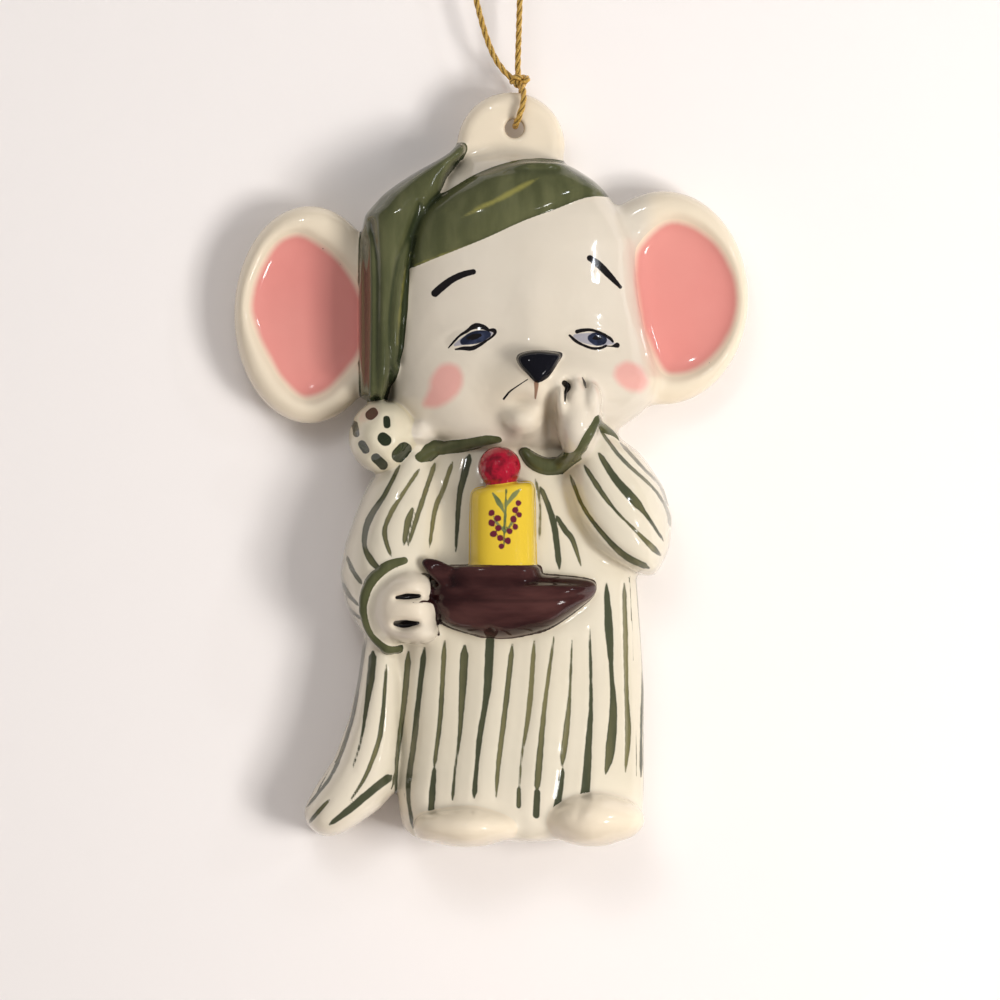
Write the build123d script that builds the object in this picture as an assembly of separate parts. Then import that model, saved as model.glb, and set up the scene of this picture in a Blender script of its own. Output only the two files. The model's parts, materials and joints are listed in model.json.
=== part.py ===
"""Glazed ceramic mouse ornament in nightshirt and nightcap, yawning over a candle in its dish,
hung by a gold cord through the lug on its head.

Millimetres, +Z up. The figure faces -Y. The origin is the underside of the cord loop's top, where
the loop hangs on its hook. Left and right in names are the mouse's own: its right arm, which holds
the dish, is on the -X side. Shares place each piece on the one that carries it.
"""

from build123d import *
import math
import os

# Cord: one thin metallic cord, tied above the lug
cord_diameter = 0.72
knot_width = 2.5
knot_depth = 2.1
knot_height = 1.9
knot_place = (0.65, 0, 5.75)
loop_rise = 60.0

# Lug, and the hole that the cord runs through
lug_radius = 6.2
lug_thickness = 4.4
lug_edge_round = 1.6
hole_radius = 1.15
hole_below_lug_top = 4.3

# Casting: flat back, and the depth of the clay behind the widest line
back_depth = 4.4
back_swell = 5.6
ring_fullness = 2.4
ring_point_count = 12

# Head
head_width = 34.8
head_height = 33.4
head_front = 9.6
muzzle_width = 15.6
muzzle_height = 9.6
muzzle_depth = 11.2
muzzle_proud = 3.0
chin_width = 4.4
chin_height = 5.6
chin_depth = 6.0
chin_proud = 3.35
nose_width = 5.4
nose_height = 3.7
nose_depth = 2.6
nose_round = 0.55
nose_proud = 0.75

# Ears: rimmed plates with a dish, and the pool of pink glaze in it
right_ear_width = 18.1
right_ear_height = 26.2
left_ear_width = 20.4
left_ear_height = 25.4
ear_thickness = 5.3
ear_back_gap = 1.2
ear_edge_round = 2.4
ear_dish_depth = 2.3
ear_glaze_thickness = 0.5
right_ear_dish_width = 13.6
right_ear_dish_height = 20.2
left_ear_dish_width = 12.4
left_ear_dish_height = 19.1

# Nightcap
cap_wall = 1.0
tail_width = 13.0
tail_height = 29.9
tail_front = 8.0
crown_width = 14.6
crown_height = 9.0
crown_depth = 9.4
pom_pom_width = 8.3
pom_pom_depth = 8.6
pom_pom_height = 8.1

# Nightshirt, sleeves, collar and cuff
shirt_width = 32.8
shirt_height = 49.0
shirt_front = 8.0
train_width = 11.6
train_height = 22.8
train_front = 6.2
right_sleeve_width = 13.4
right_sleeve_height = 22.8
right_sleeve_front = 9.8
left_sleeve_width = 13.7
left_sleeve_height = 18.4
left_sleeve_front = 10.6
collar_thickness = 2.0
cuff_thickness = 2.0

# Hands and feet
right_hand_width = 8.2
right_hand_height = 9.2
right_hand_depth = 8.4
right_finger_length = 5.4
right_finger_thickness = 3.2
left_hand_width = 7.4
left_hand_height = 9.4
left_hand_depth = 9.0
left_finger_length = 4.8
left_finger_thickness = 2.9
finger_count = 3
left_hand_proud = 5.1
right_hand_proud = 2.2
finger_proud = 0.5
right_foot_width = 12.2
left_foot_width = 11.7
foot_height = 6.0
foot_depth = 9.4
foot_proud = 2.9

# Candle and its dish
candle_width = 7.9
candle_height = 10.4
candle_depth = 7.6
candle_edge_round = 0.5
candle_proud = 4.0
flame_width = 5.1
flame_height = 4.9
flame_depth = 4.8
socket_wall = 0.75
socket_height = 2.0
dish_width = 20.5
dish_height = 7.8
dish_swell = 5.0
dish_behind = 3.4
handle_thickness = 1.5
handle_rise = 1.9
handle_reach = 3.2


# Sections of the swelling members, from the bottom up:
# share of the height, share of the width by which the middle moves over, share of the width,
# share of the front depth
head_shares = (
    (0.00, 0.01, 0.36, 0.58), (0.04, 0.00, 0.60, 0.78), (0.12, -0.01, 0.80, 0.93),
    (0.24, 0.015, 0.97, 1.00), (0.37, 0.00, 0.99, 1.00), (0.55, -0.02, 0.95, 0.98),
    (0.73, -0.03, 0.90, 0.92), (0.86, -0.03, 0.77, 0.81), (0.95, -0.03, 0.57, 0.64),
    (1.00, -0.03, 0.30, 0.44),
)
shirt_shares = (
    (0.00, 0.05, 0.78, 0.75), (0.025, 0.05, 0.87, 0.86), (0.12, 0.045, 0.91, 0.92),
    (0.24, 0.04, 0.92, 0.92), (0.36, 0.025, 0.95, 0.94), (0.49, 0.00, 0.98, 0.97),
    (0.61, 0.00, 0.94, 1.00), (0.73, 0.01, 0.88, 0.96), (0.85, 0.01, 0.77, 0.88),
    (0.94, 0.00, 0.64, 0.74), (1.00, 0.00, 0.42, 0.55),
)
right_sleeve_shares = (
    (0.00, -0.06, 0.24, 0.74), (0.11, -0.07, 0.52, 0.90), (0.25, -0.06, 0.79, 0.98),
    (0.41, -0.025, 0.95, 1.00), (0.56, 0.02, 0.97, 0.98), (0.75, 0.08, 0.84, 0.90),
    (0.91, 0.10, 0.62, 0.78), (1.00, 0.10, 0.38, 0.60),
)
left_sleeve_shares = (
    (0.00, 0.26, 0.20, 0.64), (0.07, 0.19, 0.46, 0.80), (0.19, 0.09, 0.79, 0.92),
    (0.37, 0.01, 0.97, 1.00), (0.56, -0.03, 0.94, 1.00), (0.75, -0.07, 0.70, 0.93),
    (0.89, -0.12, 0.42, 0.83), (1.00, -0.15, 0.20, 0.72),
)
train_shares = (
    (0.00, -0.21, 0.24, 0.50), (0.05, -0.22, 0.50, 0.72), (0.12, -0.14, 0.71, 0.87),
    (0.23, 0.01, 0.82, 0.97), (0.39, 0.15, 0.66, 1.00), (0.60, 0.23, 0.56, 1.00),
    (0.81, 0.28, 0.50, 1.00), (1.00, 0.31, 0.40, 0.87),
)
tail_shares = (
    (0.00, -0.36, 0.18, 0.80), (0.07, -0.31, 0.33, 0.92), (0.20, -0.26, 0.47, 0.98),
    (0.36, -0.24, 0.52, 1.00), (0.52, -0.23, 0.54, 1.00), (0.64, -0.17, 0.62, 1.00),
    (0.74, -0.09, 0.69, 0.95), (0.82, 0.03, 0.56, 0.88), (0.90, 0.15, 0.32, 0.75),
    (0.96, 0.31, 0.17, 0.58), (1.00, 0.44, 0.11, 0.42),
)
dish_shares = (
    (0.00, 0.00, 0.40, 0.30), (0.08, -0.03, 0.58, 0.60), (0.28, -0.035, 0.78, 0.88),
    (0.51, -0.02, 0.92, 1.00), (0.76, 0.00, 1.00, 1.00), (0.90, 0.005, 0.96, 0.92),
    (1.00, 0.01, 0.86, 0.80),
)

# The green band across the brow: its two edges, as shares of the head's width from its middle and
# of the head's height
band_lower_edge_shares = ((-0.36, 0.655), (-0.17, 0.745), (0.015, 0.81), (0.14, 0.872), (0.325, 0.918))
band_upper_edge_shares = ((0.325, 0.918), (0.245, 0.965), (0.13, 1.04), (-0.045, 1.04),
                          (-0.17, 0.99), (-0.30, 0.90), (-0.40, 0.80))
band_shell_height_share = 1.06

# Places on the carrying piece: share of its width from its middle, share of its height
muzzle_place_share = (0.07, 0.235)
chin_place_share = (0.005, 0.135)
nose_place_share = (0.072, 0.315)
left_hand_place_share = (0.185, 0.14)
right_foot_place_share = (-0.142, 0.035)
left_foot_place_share = (0.315, 0.055)
candle_place_share = (-0.017, 0.765)
right_hand_place_share = (0.11, 0.26)
flame_sink_share = 0.12
socket_sink_share = 0.35
crown_place_share = (-0.04, 0.955)
right_ear_height_share = 0.498
left_ear_height_share = 0.558
right_ear_reach_share = 0.43
left_ear_reach_share = 0.0
lug_shift_share = -0.085
head_below_lug_share = 0.58
head_shift_share = 0.089
shirt_into_head_share = 0.086
shirt_shift_share = -0.04
tail_top_share = 1.08
tail_shift_share = -0.385
pom_pom_sink_share = 0.08
dish_under_candle_share = 0.13
dish_shift_share = 0.03
right_sleeve_place_share = (-0.408, 0.456)
left_sleeve_place_share = (0.39, 0.65)
train_place_share = (-0.563, 0.01)
ear_dish_shift_share = 0.65
nose_tip_share = -0.08
finger_spread_share = 0.3
finger_reach_share = 0.28
pom_pom_shift_share = -0.22
pom_pom_forward_share = 0.42
flame_shift_share = -0.05
handle_place_share = (-0.342, 0.92)

# The three places along a bead: shares of the carrier's width, height and front depth
cuff_shares = ((0.06, 0.485, 0.98), (-0.25, 0.28, 0.90), (0.02, 0.03, 0.80))
right_collar_shares = ((-0.33, 0.93, 0.78), (-0.185, 0.951, 1.0), (-0.04, 0.98, 1.1))
left_collar_shares = ((0.06, 0.945, 1.12), (0.19, 0.902, 1.22), (0.323, 1.015, 1.16))

# The cord's route above the knot, from the hole's centre: up the straight strand, over the hook
# and down the bowed one
loop_route = (
    (0.35, 0.12, 5.9), (0.55, 0.12, 12.0), (0.85, 0.05, 22.0), (1.35, 0.0, 36.0),
    (2.2, 0.0, 49.0), (2.9, 0.0, 56.5), (1.45, 0.0, loop_rise), (-1.45, 0.0, loop_rise),
    (-3.3, 0.0, 56.4), (-5.4, 0.1, 47.0), (-6.7, 0.2, 34.5), (-6.1, 0.2, 23.0),
    (-4.5, 0.2, 14.8), (-2.9, 0.1, 9.4), (-1.2, -0.05, 6.7), (0.15, -0.12, 5.7),
)
# The cord's route below the knot, round the lug and through its hole
eye_route = (
    (0.75, -0.35, 5.5), (1.15, -2.3, 4.75), (1.1, -3.15, 2.9), (0.45, -3.25, 1.0),
    (0.1, -1.9, 0.3), (0.1, 1.9, 0.3), (0.3, 3.25, 1.0), (0.75, 3.15, 2.9),
    (0.9, 2.3, 4.75), (0.75, 0.35, 5.5),
)
route_round_share = 0.45


def between(rows, up):
    """The three shares of a section table at one height share, on straight lines between rows."""
    for low, high in zip(rows, rows[1:]):
        if up <= high[0]:
            part = (up - low[0]) / (high[0] - low[0])
            return tuple(a + (b - a) * part for a, b in zip(low[1:], high[1:]))
    return rows[-1][1:]


class Swelling:
    """A cast member that swells and tapers as it rises, round in front and flatter behind."""

    def __init__(self, width, height, front, middle, bottom, rows, widest=0, behind=back_swell):
        self.width, self.height, self.front = width, height, front
        self.middle, self.bottom, self.rows = middle, bottom, rows
        self.widest, self.behind = widest, behind
        self.top = bottom + height

    def level(self, up):
        """Middle, half width and front depth at a share of the height."""
        over, wide, deep = between(self.rows, up)
        return self.middle + over * self.width, wide * self.width / 2, deep * self.front

    def spot(self, across, up, proud=0):
        """A point over the front surface, at shares of the width and of the height."""
        middle, half, depth = self.level(up)
        x = self.middle + across * self.width
        offset = min(abs(x - middle) / half, 1)
        rise = (1 - offset**ring_fullness) ** (1 / ring_fullness)
        return Vector(x, self.widest - depth * rise - proud, self.bottom + up * self.height)

    def ring(self, up):
        """The closed level section at a share of the height."""
        middle, half, depth = self.level(up)
        points = []
        for step in range(ring_point_count):
            turn = math.tau * step / ring_point_count
            along, out = math.cos(turn), math.sin(turn)
            x = math.copysign(abs(along) ** (2 / ring_fullness), along) * half
            reach = self.behind if out > 0 else depth
            y = math.copysign(abs(out) ** (2 / ring_fullness), out) * reach
            points.append((middle + x, self.widest + y, self.bottom + up * self.height))
        return Wire([Spline(*points, periodic=True)])

    def solid(self):
        return Solid.make_loft([self.ring(row[0]) for row in self.rows])


def pebble(width, depth, height, centre, seam_turn=0):
    """An egg-smooth lump, whose seam is turned towards what cuts it."""
    return Pos(*centre) * scale(Rot(0, 0, seam_turn) * Sphere(1), by=(width / 2, depth / 2, height / 2))


def flat_backed(piece):
    """The piece cut off at the casting's flat back."""
    box = piece.bounding_box()
    size = box.size + Vector(back_depth, back_depth, back_depth)
    slab = Box(size.X, size.Y, size.Z, align=(Align.CENTER, Align.MIN, Align.CENTER))
    return piece - Pos(box.center().X, back_depth, box.center().Z) * slab


def place(name, piece, *carriers):
    """Keep the piece, less what its carriers fill, so that it meets them face to face."""
    whole[name] = piece
    left = piece - [whole[carrier] for carrier in carriers] if carriers else piece
    pieces[name] = max(left.solids(), key=lambda solid: solid.volume)


def bead(start, middle, end, thickness):
    """A round bead of clay along an arc through three points."""
    path = ThreePointArc(start, middle, end)
    section = Plane(origin=path @ 0, z_dir=path % 0) * Circle(thickness / 2)
    return sweep(section, path)


def routed_cord(name, points):
    """A round cord of straight runs and arcs, each arc as large as its two runs allow."""
    points = [Vector(*p) for p in points]
    radii = []
    for before, here, after in zip(points, points[1:], points[2:]):
        run_in, run_out = here - before, after - here
        half_turn = math.radians(run_in.get_angle(run_out)) / 2
        shorter = min(run_in.length, run_out.length)
        radii.append(route_round_share * shorter / math.tan(half_turn))
    path = FilletPolyline(*points, radius=radii)
    section = Plane(origin=path @ 0, z_dir=path % 0) * Circle(cord_diameter / 2)
    tube = sweep(section, path)
    area = math.pi * cord_diameter**2 / 4
    print(name, "length", round(path.length, 2), "radii", [round(r, 2) for r in radii],
          "volume", round(tube.volume, 3), "of", round(area * path.length, 3))
    return tube


hole_z = -(loop_rise - cord_diameter / 2)
hole_centre = Vector(0, 0, hole_z)
lug_centre = Vector(lug_shift_share * lug_radius, 0, hole_z + hole_below_lug_top - lug_radius)

# Where the members stand
head = Swelling(
    head_width, head_height, head_front,
    middle=lug_centre.X + (head_shift_share - lug_shift_share) * lug_radius,
    bottom=lug_centre.Z - head_below_lug_share * lug_radius - head_height,
    rows=head_shares,
)
shirt = Swelling(
    shirt_width, shirt_height, shirt_front,
    middle=head.middle + shirt_shift_share * head_width,
    bottom=head.bottom + shirt_into_head_share * head_height - shirt_height,
    rows=shirt_shares,
)
right_sleeve = Swelling(
    right_sleeve_width, right_sleeve_height, right_sleeve_front,
    middle=shirt.middle + right_sleeve_place_share[0] * shirt_width,
    bottom=shirt.bottom + right_sleeve_place_share[1] * shirt_height,
    rows=right_sleeve_shares,
)
left_sleeve = Swelling(
    left_sleeve_width, left_sleeve_height, left_sleeve_front,
    middle=shirt.middle + left_sleeve_place_share[0] * shirt_width,
    bottom=shirt.bottom + left_sleeve_place_share[1] * shirt_height,
    rows=left_sleeve_shares,
)
train = Swelling(
    train_width, train_height, train_front,
    middle=shirt.middle + train_place_share[0] * shirt_width,
    bottom=shirt.bottom + train_place_share[1] * shirt_height,
    rows=train_shares,
)
tail = Swelling(
    tail_width, tail_height, tail_front,
    middle=head.middle + tail_shift_share * head_width,
    bottom=head.bottom + tail_top_share * head_height - tail_height,
    rows=tail_shares,
)
candle_spot = shirt.spot(*candle_place_share)
candle_foot = candle_spot.Z - candle_height / 2
candle_y = candle_spot.Y - candle_proud + candle_depth / 2
dish = Swelling(
    dish_width, dish_height, dish_swell,
    middle=candle_spot.X + dish_shift_share * dish_width,
    bottom=candle_foot + dish_under_candle_share * dish_height - dish_height,
    rows=dish_shares,
    widest=candle_spot.Y,
    behind=dish_behind,
)


def make_lug():
    disc = Rot(90, 0, 0) * Cylinder(lug_radius, lug_thickness)
    disc = fillet(disc.edges().filter_by(GeomType.CIRCLE), lug_edge_round)
    hole = Pos(*hole_centre) * Rot(90, 0, 0) * Cylinder(hole_radius, lug_thickness * 2)
    return Pos(*lug_centre) * disc - hole


def make_band():
    """The brow band: a shell over the head, between the band's two edges."""
    shell = Swelling(
        head_width + 2 * cap_wall, head_height * band_shell_height_share, head_front + cap_wall,
        head.middle, head.bottom, head_shares,
    )
    lower = [(head.middle + x * head_width, head.bottom + z * head_height)
             for x, z in band_lower_edge_shares]
    upper = [(head.middle + x * head_width, head.bottom + z * head_height)
             for x, z in band_upper_edge_shares]
    outline = Wire([Spline(*lower), Spline(*upper), Line(upper[-1], lower[0])])
    face = Plane.XZ * make_face(outline)
    reach = head_front + 2 * cap_wall
    return shell.solid() & extrude(face, amount=reach)


def make_crown():
    """The uncoloured crown of the cap, between the band and the lug."""
    spot = head.spot(*crown_place_share)
    return pebble(crown_width, crown_depth, crown_height, (spot.X, back_depth - crown_depth / 2, spot.Z))


def make_lump(carrier, place_share, proud, width, depth, height):
    """A smooth lump that stands proud of its carrier's front."""
    return pebble(width, depth, height, carrier.spot(*place_share, proud - depth / 2))


def make_nose():
    """A rounded triangle of clay on the muzzle."""
    spot = head.spot(*nose_place_share, muzzle_proud + nose_proud)
    half, rise = nose_width / 2, nose_height / 2
    outline = Polyline((-half, rise), (half, rise), (nose_tip_share * nose_width, -rise), close=True)
    block = extrude(Plane.XZ * make_face(outline), amount=nose_depth)
    return Pos(spot.X, spot.Y + nose_depth, spot.Z) * fillet(block.edges(), nose_round)


def make_ear(side, size, dish_size, seat):
    """The plate of an ear with its hollow, and the pool of glaze that lines the hollow."""
    width, height = size
    reach_share, height_share = seat
    plate = extrude(Plane.XZ * Ellipse(width / 2, height / 2), amount=ear_thickness)
    plate = fillet(plate.edges(), ear_edge_round)
    centre = Vector(
        head.middle + side * (head_width / 2 + reach_share * width),
        back_depth - ear_back_gap,
        head.bottom + height_share * head_height,
    )
    plate = Pos(*centre) * plate
    rim = (width - dish_size[0]) / 2
    face = centre + Vector(side * rim * ear_dish_shift_share, -ear_thickness, 0)
    hollow = pebble(dish_size[0], 2 * ear_dish_depth, dish_size[1], face)
    risen = pebble(dish_size[0], 2 * ear_dish_depth, dish_size[1], face - Vector(0, ear_glaze_thickness, 0))
    return plate - hollow, (plate & hollow) - risen


def make_hand(palm_size, spot, finger_size, spread, reach):
    """A mitten palm, and its fingers side by side on its front."""
    palm_depth, finger_depth = palm_size[1], finger_size[1]
    hand = pebble(*palm_size, spot)
    row = spot + reach + Vector(0, (finger_depth - palm_depth) / 2 - finger_proud, 0)
    for number in range(finger_count):
        hand = hand + pebble(*finger_size, row + spread * (number - (finger_count - 1) / 2))
    return hand


def make_left_hand():
    """The raised hand over the mouth, with upright fingers."""
    return make_hand(
        (left_hand_width, left_hand_depth, left_hand_height),
        head.spot(*left_hand_place_share, left_hand_proud - left_hand_depth / 2),
        (left_finger_thickness, left_finger_thickness, left_finger_length),
        Vector(left_hand_width * finger_spread_share, 0, 0),
        Vector(0, 0, left_hand_height * finger_reach_share),
    )


def make_right_hand():
    """The hand on the dish, with level fingers."""
    return make_hand(
        (right_hand_width, right_hand_depth, right_hand_height),
        right_sleeve.spot(*right_hand_place_share, right_hand_proud - right_hand_depth / 2),
        (right_finger_length, right_finger_thickness, right_finger_thickness),
        Vector(0, 0, right_hand_height * finger_spread_share),
        Vector(right_hand_width * finger_reach_share, 0, 0),
    )


def make_band_bead(carrier, shares, thickness):
    """A bead that lies on its carrier's front along three places."""
    places = [
        Vector(
            carrier.middle + across * carrier.width,
            carrier.widest - forward * carrier.front,
            carrier.bottom + up * carrier.height,
        )
        for across, up, forward in shares
    ]
    return bead(*places, thickness)


def make_pom_pom():
    """The bobble on the end of the cap's tail."""
    centre = Vector(
        tail.middle + pom_pom_shift_share * tail_width,
        -pom_pom_forward_share * tail_front,
        tail.bottom - pom_pom_height * (1 / 2 - pom_pom_sink_share),
    )
    return pebble(pom_pom_width, pom_pom_depth, pom_pom_height, centre, seam_turn=90)


def make_candle():
    """A stubby candle with a softened rim."""
    section = Pos(candle_spot.X, candle_y, candle_spot.Z) * Ellipse(candle_width / 2, candle_depth / 2)
    candle = extrude(section, amount=candle_height / 2, both=True)
    return fillet(candle.edges(), candle_edge_round)


def make_socket():
    """The raised ring in the dish that holds the candle."""
    foot = candle_foot - socket_height * socket_sink_share
    ring = Pos(candle_spot.X, candle_y, foot) * Ellipse(
        candle_width / 2 + socket_wall, candle_depth / 2 + socket_wall
    )
    return extrude(ring, amount=socket_height)


def make_flame():
    """The flame, a plain ball of clay on the candle."""
    top = candle_spot.Z + candle_height / 2
    centre = (
        candle_spot.X + flame_shift_share * candle_width,
        candle_y - (candle_depth - flame_depth) / 2,
        top + flame_height * (1 / 2 - flame_sink_share),
    )
    return pebble(flame_width, flame_depth, flame_height, centre)


def make_handle():
    """The short thumb hook on the dish's rim."""
    start = dish.spot(*handle_place_share)
    middle = start + Vector(-handle_reach * 2 / 3, -handle_thickness / 4, handle_rise / 2)
    return bead(start, middle, start + Vector(-handle_reach, 0, handle_rise), handle_thickness)


whole = {}
pieces = {}

# The large members first: each later piece is cut by the earlier ones
place("head", flat_backed(head.solid()))
place("nightshirt", flat_backed(shirt.solid()), "head")
place("right_sleeve", flat_backed(right_sleeve.solid()), "head", "nightshirt")
place("left_sleeve", flat_backed(left_sleeve.solid()), "head", "nightshirt")
place("shirt_train", flat_backed(train.solid()), "nightshirt", "right_sleeve")
place("hanging_lug", make_lug(), "head")
place("cap_crown", make_crown(), "head", "hanging_lug")
place("cap_band", make_band(), "head", "hanging_lug", "cap_crown")
place("cap_tail", flat_backed(tail.solid()), "head", "hanging_lug", "cap_crown", "cap_band")
place(
    "muzzle", make_lump(head, muzzle_place_share, muzzle_proud, muzzle_width, muzzle_depth, muzzle_height),
    "head",
)
place(
    "chin", make_lump(head, chin_place_share, chin_proud, chin_width, chin_depth, chin_height),
    "head", "muzzle",
)
place("nose", make_nose(), "head", "muzzle")
for name, side, ear, dish_size, seat, carriers in (
    ("right_ear", -1, (right_ear_width, right_ear_height), (right_ear_dish_width, right_ear_dish_height),
     (right_ear_reach_share, right_ear_height_share), ("head", "cap_tail")),
    ("left_ear", 1, (left_ear_width, left_ear_height), (left_ear_dish_width, left_ear_dish_height),
     (left_ear_reach_share, left_ear_height_share), ("head",)),
):
    plate, pool = make_ear(side, ear, dish_size, seat)
    place(name, plate, *carriers)
    place(name + "_lining", pool, *carriers)
place("left_hand", make_left_hand(), "head", "muzzle", "chin", "nose", "left_sleeve")
place("right_hand", make_right_hand(), "right_sleeve", "nightshirt")
place(
    "right_cuff", make_band_bead(right_sleeve, cuff_shares, cuff_thickness),
    "right_sleeve", "nightshirt", "right_hand", "shirt_train",
)
place(
    "right_collar", make_band_bead(shirt, right_collar_shares, collar_thickness),
    "head", "nightshirt", "right_sleeve",
)
place(
    "left_collar", make_band_bead(shirt, left_collar_shares, collar_thickness),
    "head", "nightshirt", "left_sleeve", "left_hand", "chin", "muzzle",
)
place("pom_pom", make_pom_pom(), "head", "cap_tail", "right_sleeve")
place("dish", dish.solid(), "nightshirt", "right_sleeve", "right_hand")
place("candle", make_candle(), "nightshirt", "dish")
place("candle_socket", make_socket(), "nightshirt", "dish", "candle")
place("flame", make_flame(), "nightshirt", "head", "candle", "right_collar", "left_collar", "chin")
place(
    "dish_handle", make_handle(),
    "dish", "nightshirt", "right_hand", "right_cuff", "right_sleeve", "candle_socket", "candle",
)
place(
    "right_foot", make_lump(shirt, right_foot_place_share, foot_proud, right_foot_width, foot_depth, foot_height),
    "nightshirt", "shirt_train",
)
place(
    "left_foot", make_lump(shirt, left_foot_place_share, foot_proud, left_foot_width, foot_depth, foot_height),
    "nightshirt",
)

# The cord's own pieces are another body, and only meet each other
pieces["lug_knot"] = pebble(knot_width, knot_depth, knot_height, hole_centre + Vector(*knot_place))
pieces["cord_loop"] = routed_cord("cord_loop", [hole_centre + Vector(*p) for p in loop_route])
pieces["cord_eye"] = routed_cord("cord_eye", [hole_centre + Vector(*p) for p in eye_route])

os.makedirs("parts", exist_ok=True)
for name, piece in pieces.items():
    export_step(piece, f"parts/{name}.step")
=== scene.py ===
"""A glazed ceramic mouse ornament in nightcap and striped nightshirt, hung by a gold cord.

The casting is modelled as clay in a block of voxels, in millimetres from the centre of the hanging
hole, with +X to the viewer's right, +Z up and the front at -Y. Each member adds its own swell of
clay and is smoothed into its neighbours. The block is then divided into one closed mesh for each
piece of the frame, and painted and glazed. Pixel coordinates are the photograph's, 1000 wide.
"""

import json
import math
import bmesh
import bpy
import numpy as np
import openvdb
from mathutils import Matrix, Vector


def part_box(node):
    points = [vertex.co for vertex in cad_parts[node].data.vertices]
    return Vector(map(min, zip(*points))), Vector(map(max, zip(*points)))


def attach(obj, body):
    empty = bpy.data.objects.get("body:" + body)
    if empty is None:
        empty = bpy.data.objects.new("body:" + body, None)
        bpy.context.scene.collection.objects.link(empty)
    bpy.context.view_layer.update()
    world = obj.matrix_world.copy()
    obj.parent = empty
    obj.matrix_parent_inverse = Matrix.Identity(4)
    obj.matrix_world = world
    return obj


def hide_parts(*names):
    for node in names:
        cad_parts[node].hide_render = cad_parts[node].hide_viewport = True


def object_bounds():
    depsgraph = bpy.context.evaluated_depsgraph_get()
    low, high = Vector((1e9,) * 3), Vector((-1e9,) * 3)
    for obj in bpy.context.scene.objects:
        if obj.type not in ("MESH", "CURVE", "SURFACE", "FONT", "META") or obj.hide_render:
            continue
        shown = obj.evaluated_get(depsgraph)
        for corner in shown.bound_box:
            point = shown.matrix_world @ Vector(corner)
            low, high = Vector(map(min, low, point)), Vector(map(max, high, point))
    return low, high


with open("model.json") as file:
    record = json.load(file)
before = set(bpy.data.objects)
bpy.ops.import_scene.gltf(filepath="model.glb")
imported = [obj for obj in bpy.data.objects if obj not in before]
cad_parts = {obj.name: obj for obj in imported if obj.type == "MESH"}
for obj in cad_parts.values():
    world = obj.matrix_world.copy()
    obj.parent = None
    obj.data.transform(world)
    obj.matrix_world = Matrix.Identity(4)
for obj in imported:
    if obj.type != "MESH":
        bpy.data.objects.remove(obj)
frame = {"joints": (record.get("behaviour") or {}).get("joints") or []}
cad_low, cad_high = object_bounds()

# Scale of the photograph, and the place of the hanging hole in it and in the frame
mm = 0.001
mm_per_pixel = 0.12
hole_column = 514.4
hole_row = 127.5
hole = Vector(frame["joints"][0]["pos_m"])

# The camera, square in front of the ornament
view_width = 0.120
camera_distance = 1.2
view_column = 500.0
view_row = 500.0
view_depth = -4.0
sensor_width = 36.0

# The block of clay, in millimetres from the hole. It stores distances up to far, and distant is
# further off than any claim
voxel = 0.22
block_low = (-34.8, -16.8, -87.8)
block_high = (29.8, 5.4, 6.4)
far = 3.0
distant = 20.0
flat_back = 4.4
back_edge = 0.9
back_swell = 5.6
ring_fullness = 2.3
row_softening = 1.5
hole_radius = 1.15
hole_edge = 0.5
margin = 2.0
thin_margin = 1.5
tiny = 1e-9
least_half = 0.05
least_slope = 0.02
least_fall = 0.2

# How the block is divided into pieces, in millimetres: under a neighbour's edge a piece is sunk a
# little, past overlap it dives, and past lap it ends. Shells of fewer points than a crumb go
dive = 1.5
lap = 0.5
overlap = 0.25
under = 0.03
claim_slope = 2.0
claim_depth = 1.2
crumb = 40

# How near to the clay's surface, in voxels, a point is moved onto it or takes its slope
settle_reach = 0.3
skin_reach = 0.7
slope_step = 0.75
hollow_radius = 0.9

# Ears and band
ear_middle = 0.55
ear_thickness = 5.3
ear_rim_round = 2.3
ear_lip = 0.5
ear_bowl_depth = 2.0
ear_bowl_slope = 1.1
ear_bowl_edge = 0.9
glaze_pool_depth = 0.6
glaze_pool_height = 1.2
band_proud = 1.15
band_roll = 0.9
band_edge = 0.5
band_clay_depth = 1.0


def across(column):
    """Millimetres to the right of the hole."""
    return (np.asarray(column, float) - hole_column) * mm_per_pixel


def rise(row):
    """Millimetres above the hole."""
    return (hole_row - np.asarray(row, float)) * mm_per_pixel


def column_of(x):
    return np.asarray(x) / mm_per_pixel + hole_column


def row_of(z):
    return hole_row - np.asarray(z) / mm_per_pixel


def seen(points):
    """The column and row at which the camera sees points given in millimetres from the hole."""
    nearer = camera_distance / (camera_distance + (points[:, 1] - view_depth) * mm)
    column = view_column + (column_of(points[:, 0]) - view_column) * nearer
    return column, view_row + (row_of(points[:, 2]) - view_row) * nearer


# Plain curves and distances

def ramp(value, start, end):
    """Rises smoothly from 0 where the value is start to 1 where it is end."""
    part = np.clip((value - start) / (end - start), 0, 1)
    return part * part * (3 - 2 * part)


def smooth_min(a, b, blend):
    """The lesser of two distances, rounded over where they differ by less than blend."""
    near = np.maximum(blend - np.abs(a - b), 0) / blend
    return np.minimum(a, b) - near * near * blend / 4


def smooth_max(a, b, blend):
    return -smooth_min(-a, -b, blend)


def round_corner(a, b, radius):
    """The edge between two faces that lie a radius inside the clay."""
    outside = np.hypot(np.maximum(a, 0), np.maximum(b, 0))
    return np.minimum(np.maximum(a, b), 0) + outside - radius


def claim_within(surface, inside):
    """A claim that is strongest inside an outline, over the surface that it lies on."""
    return surface - np.clip(inside * claim_slope, -2 * claim_depth, claim_depth)


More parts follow.
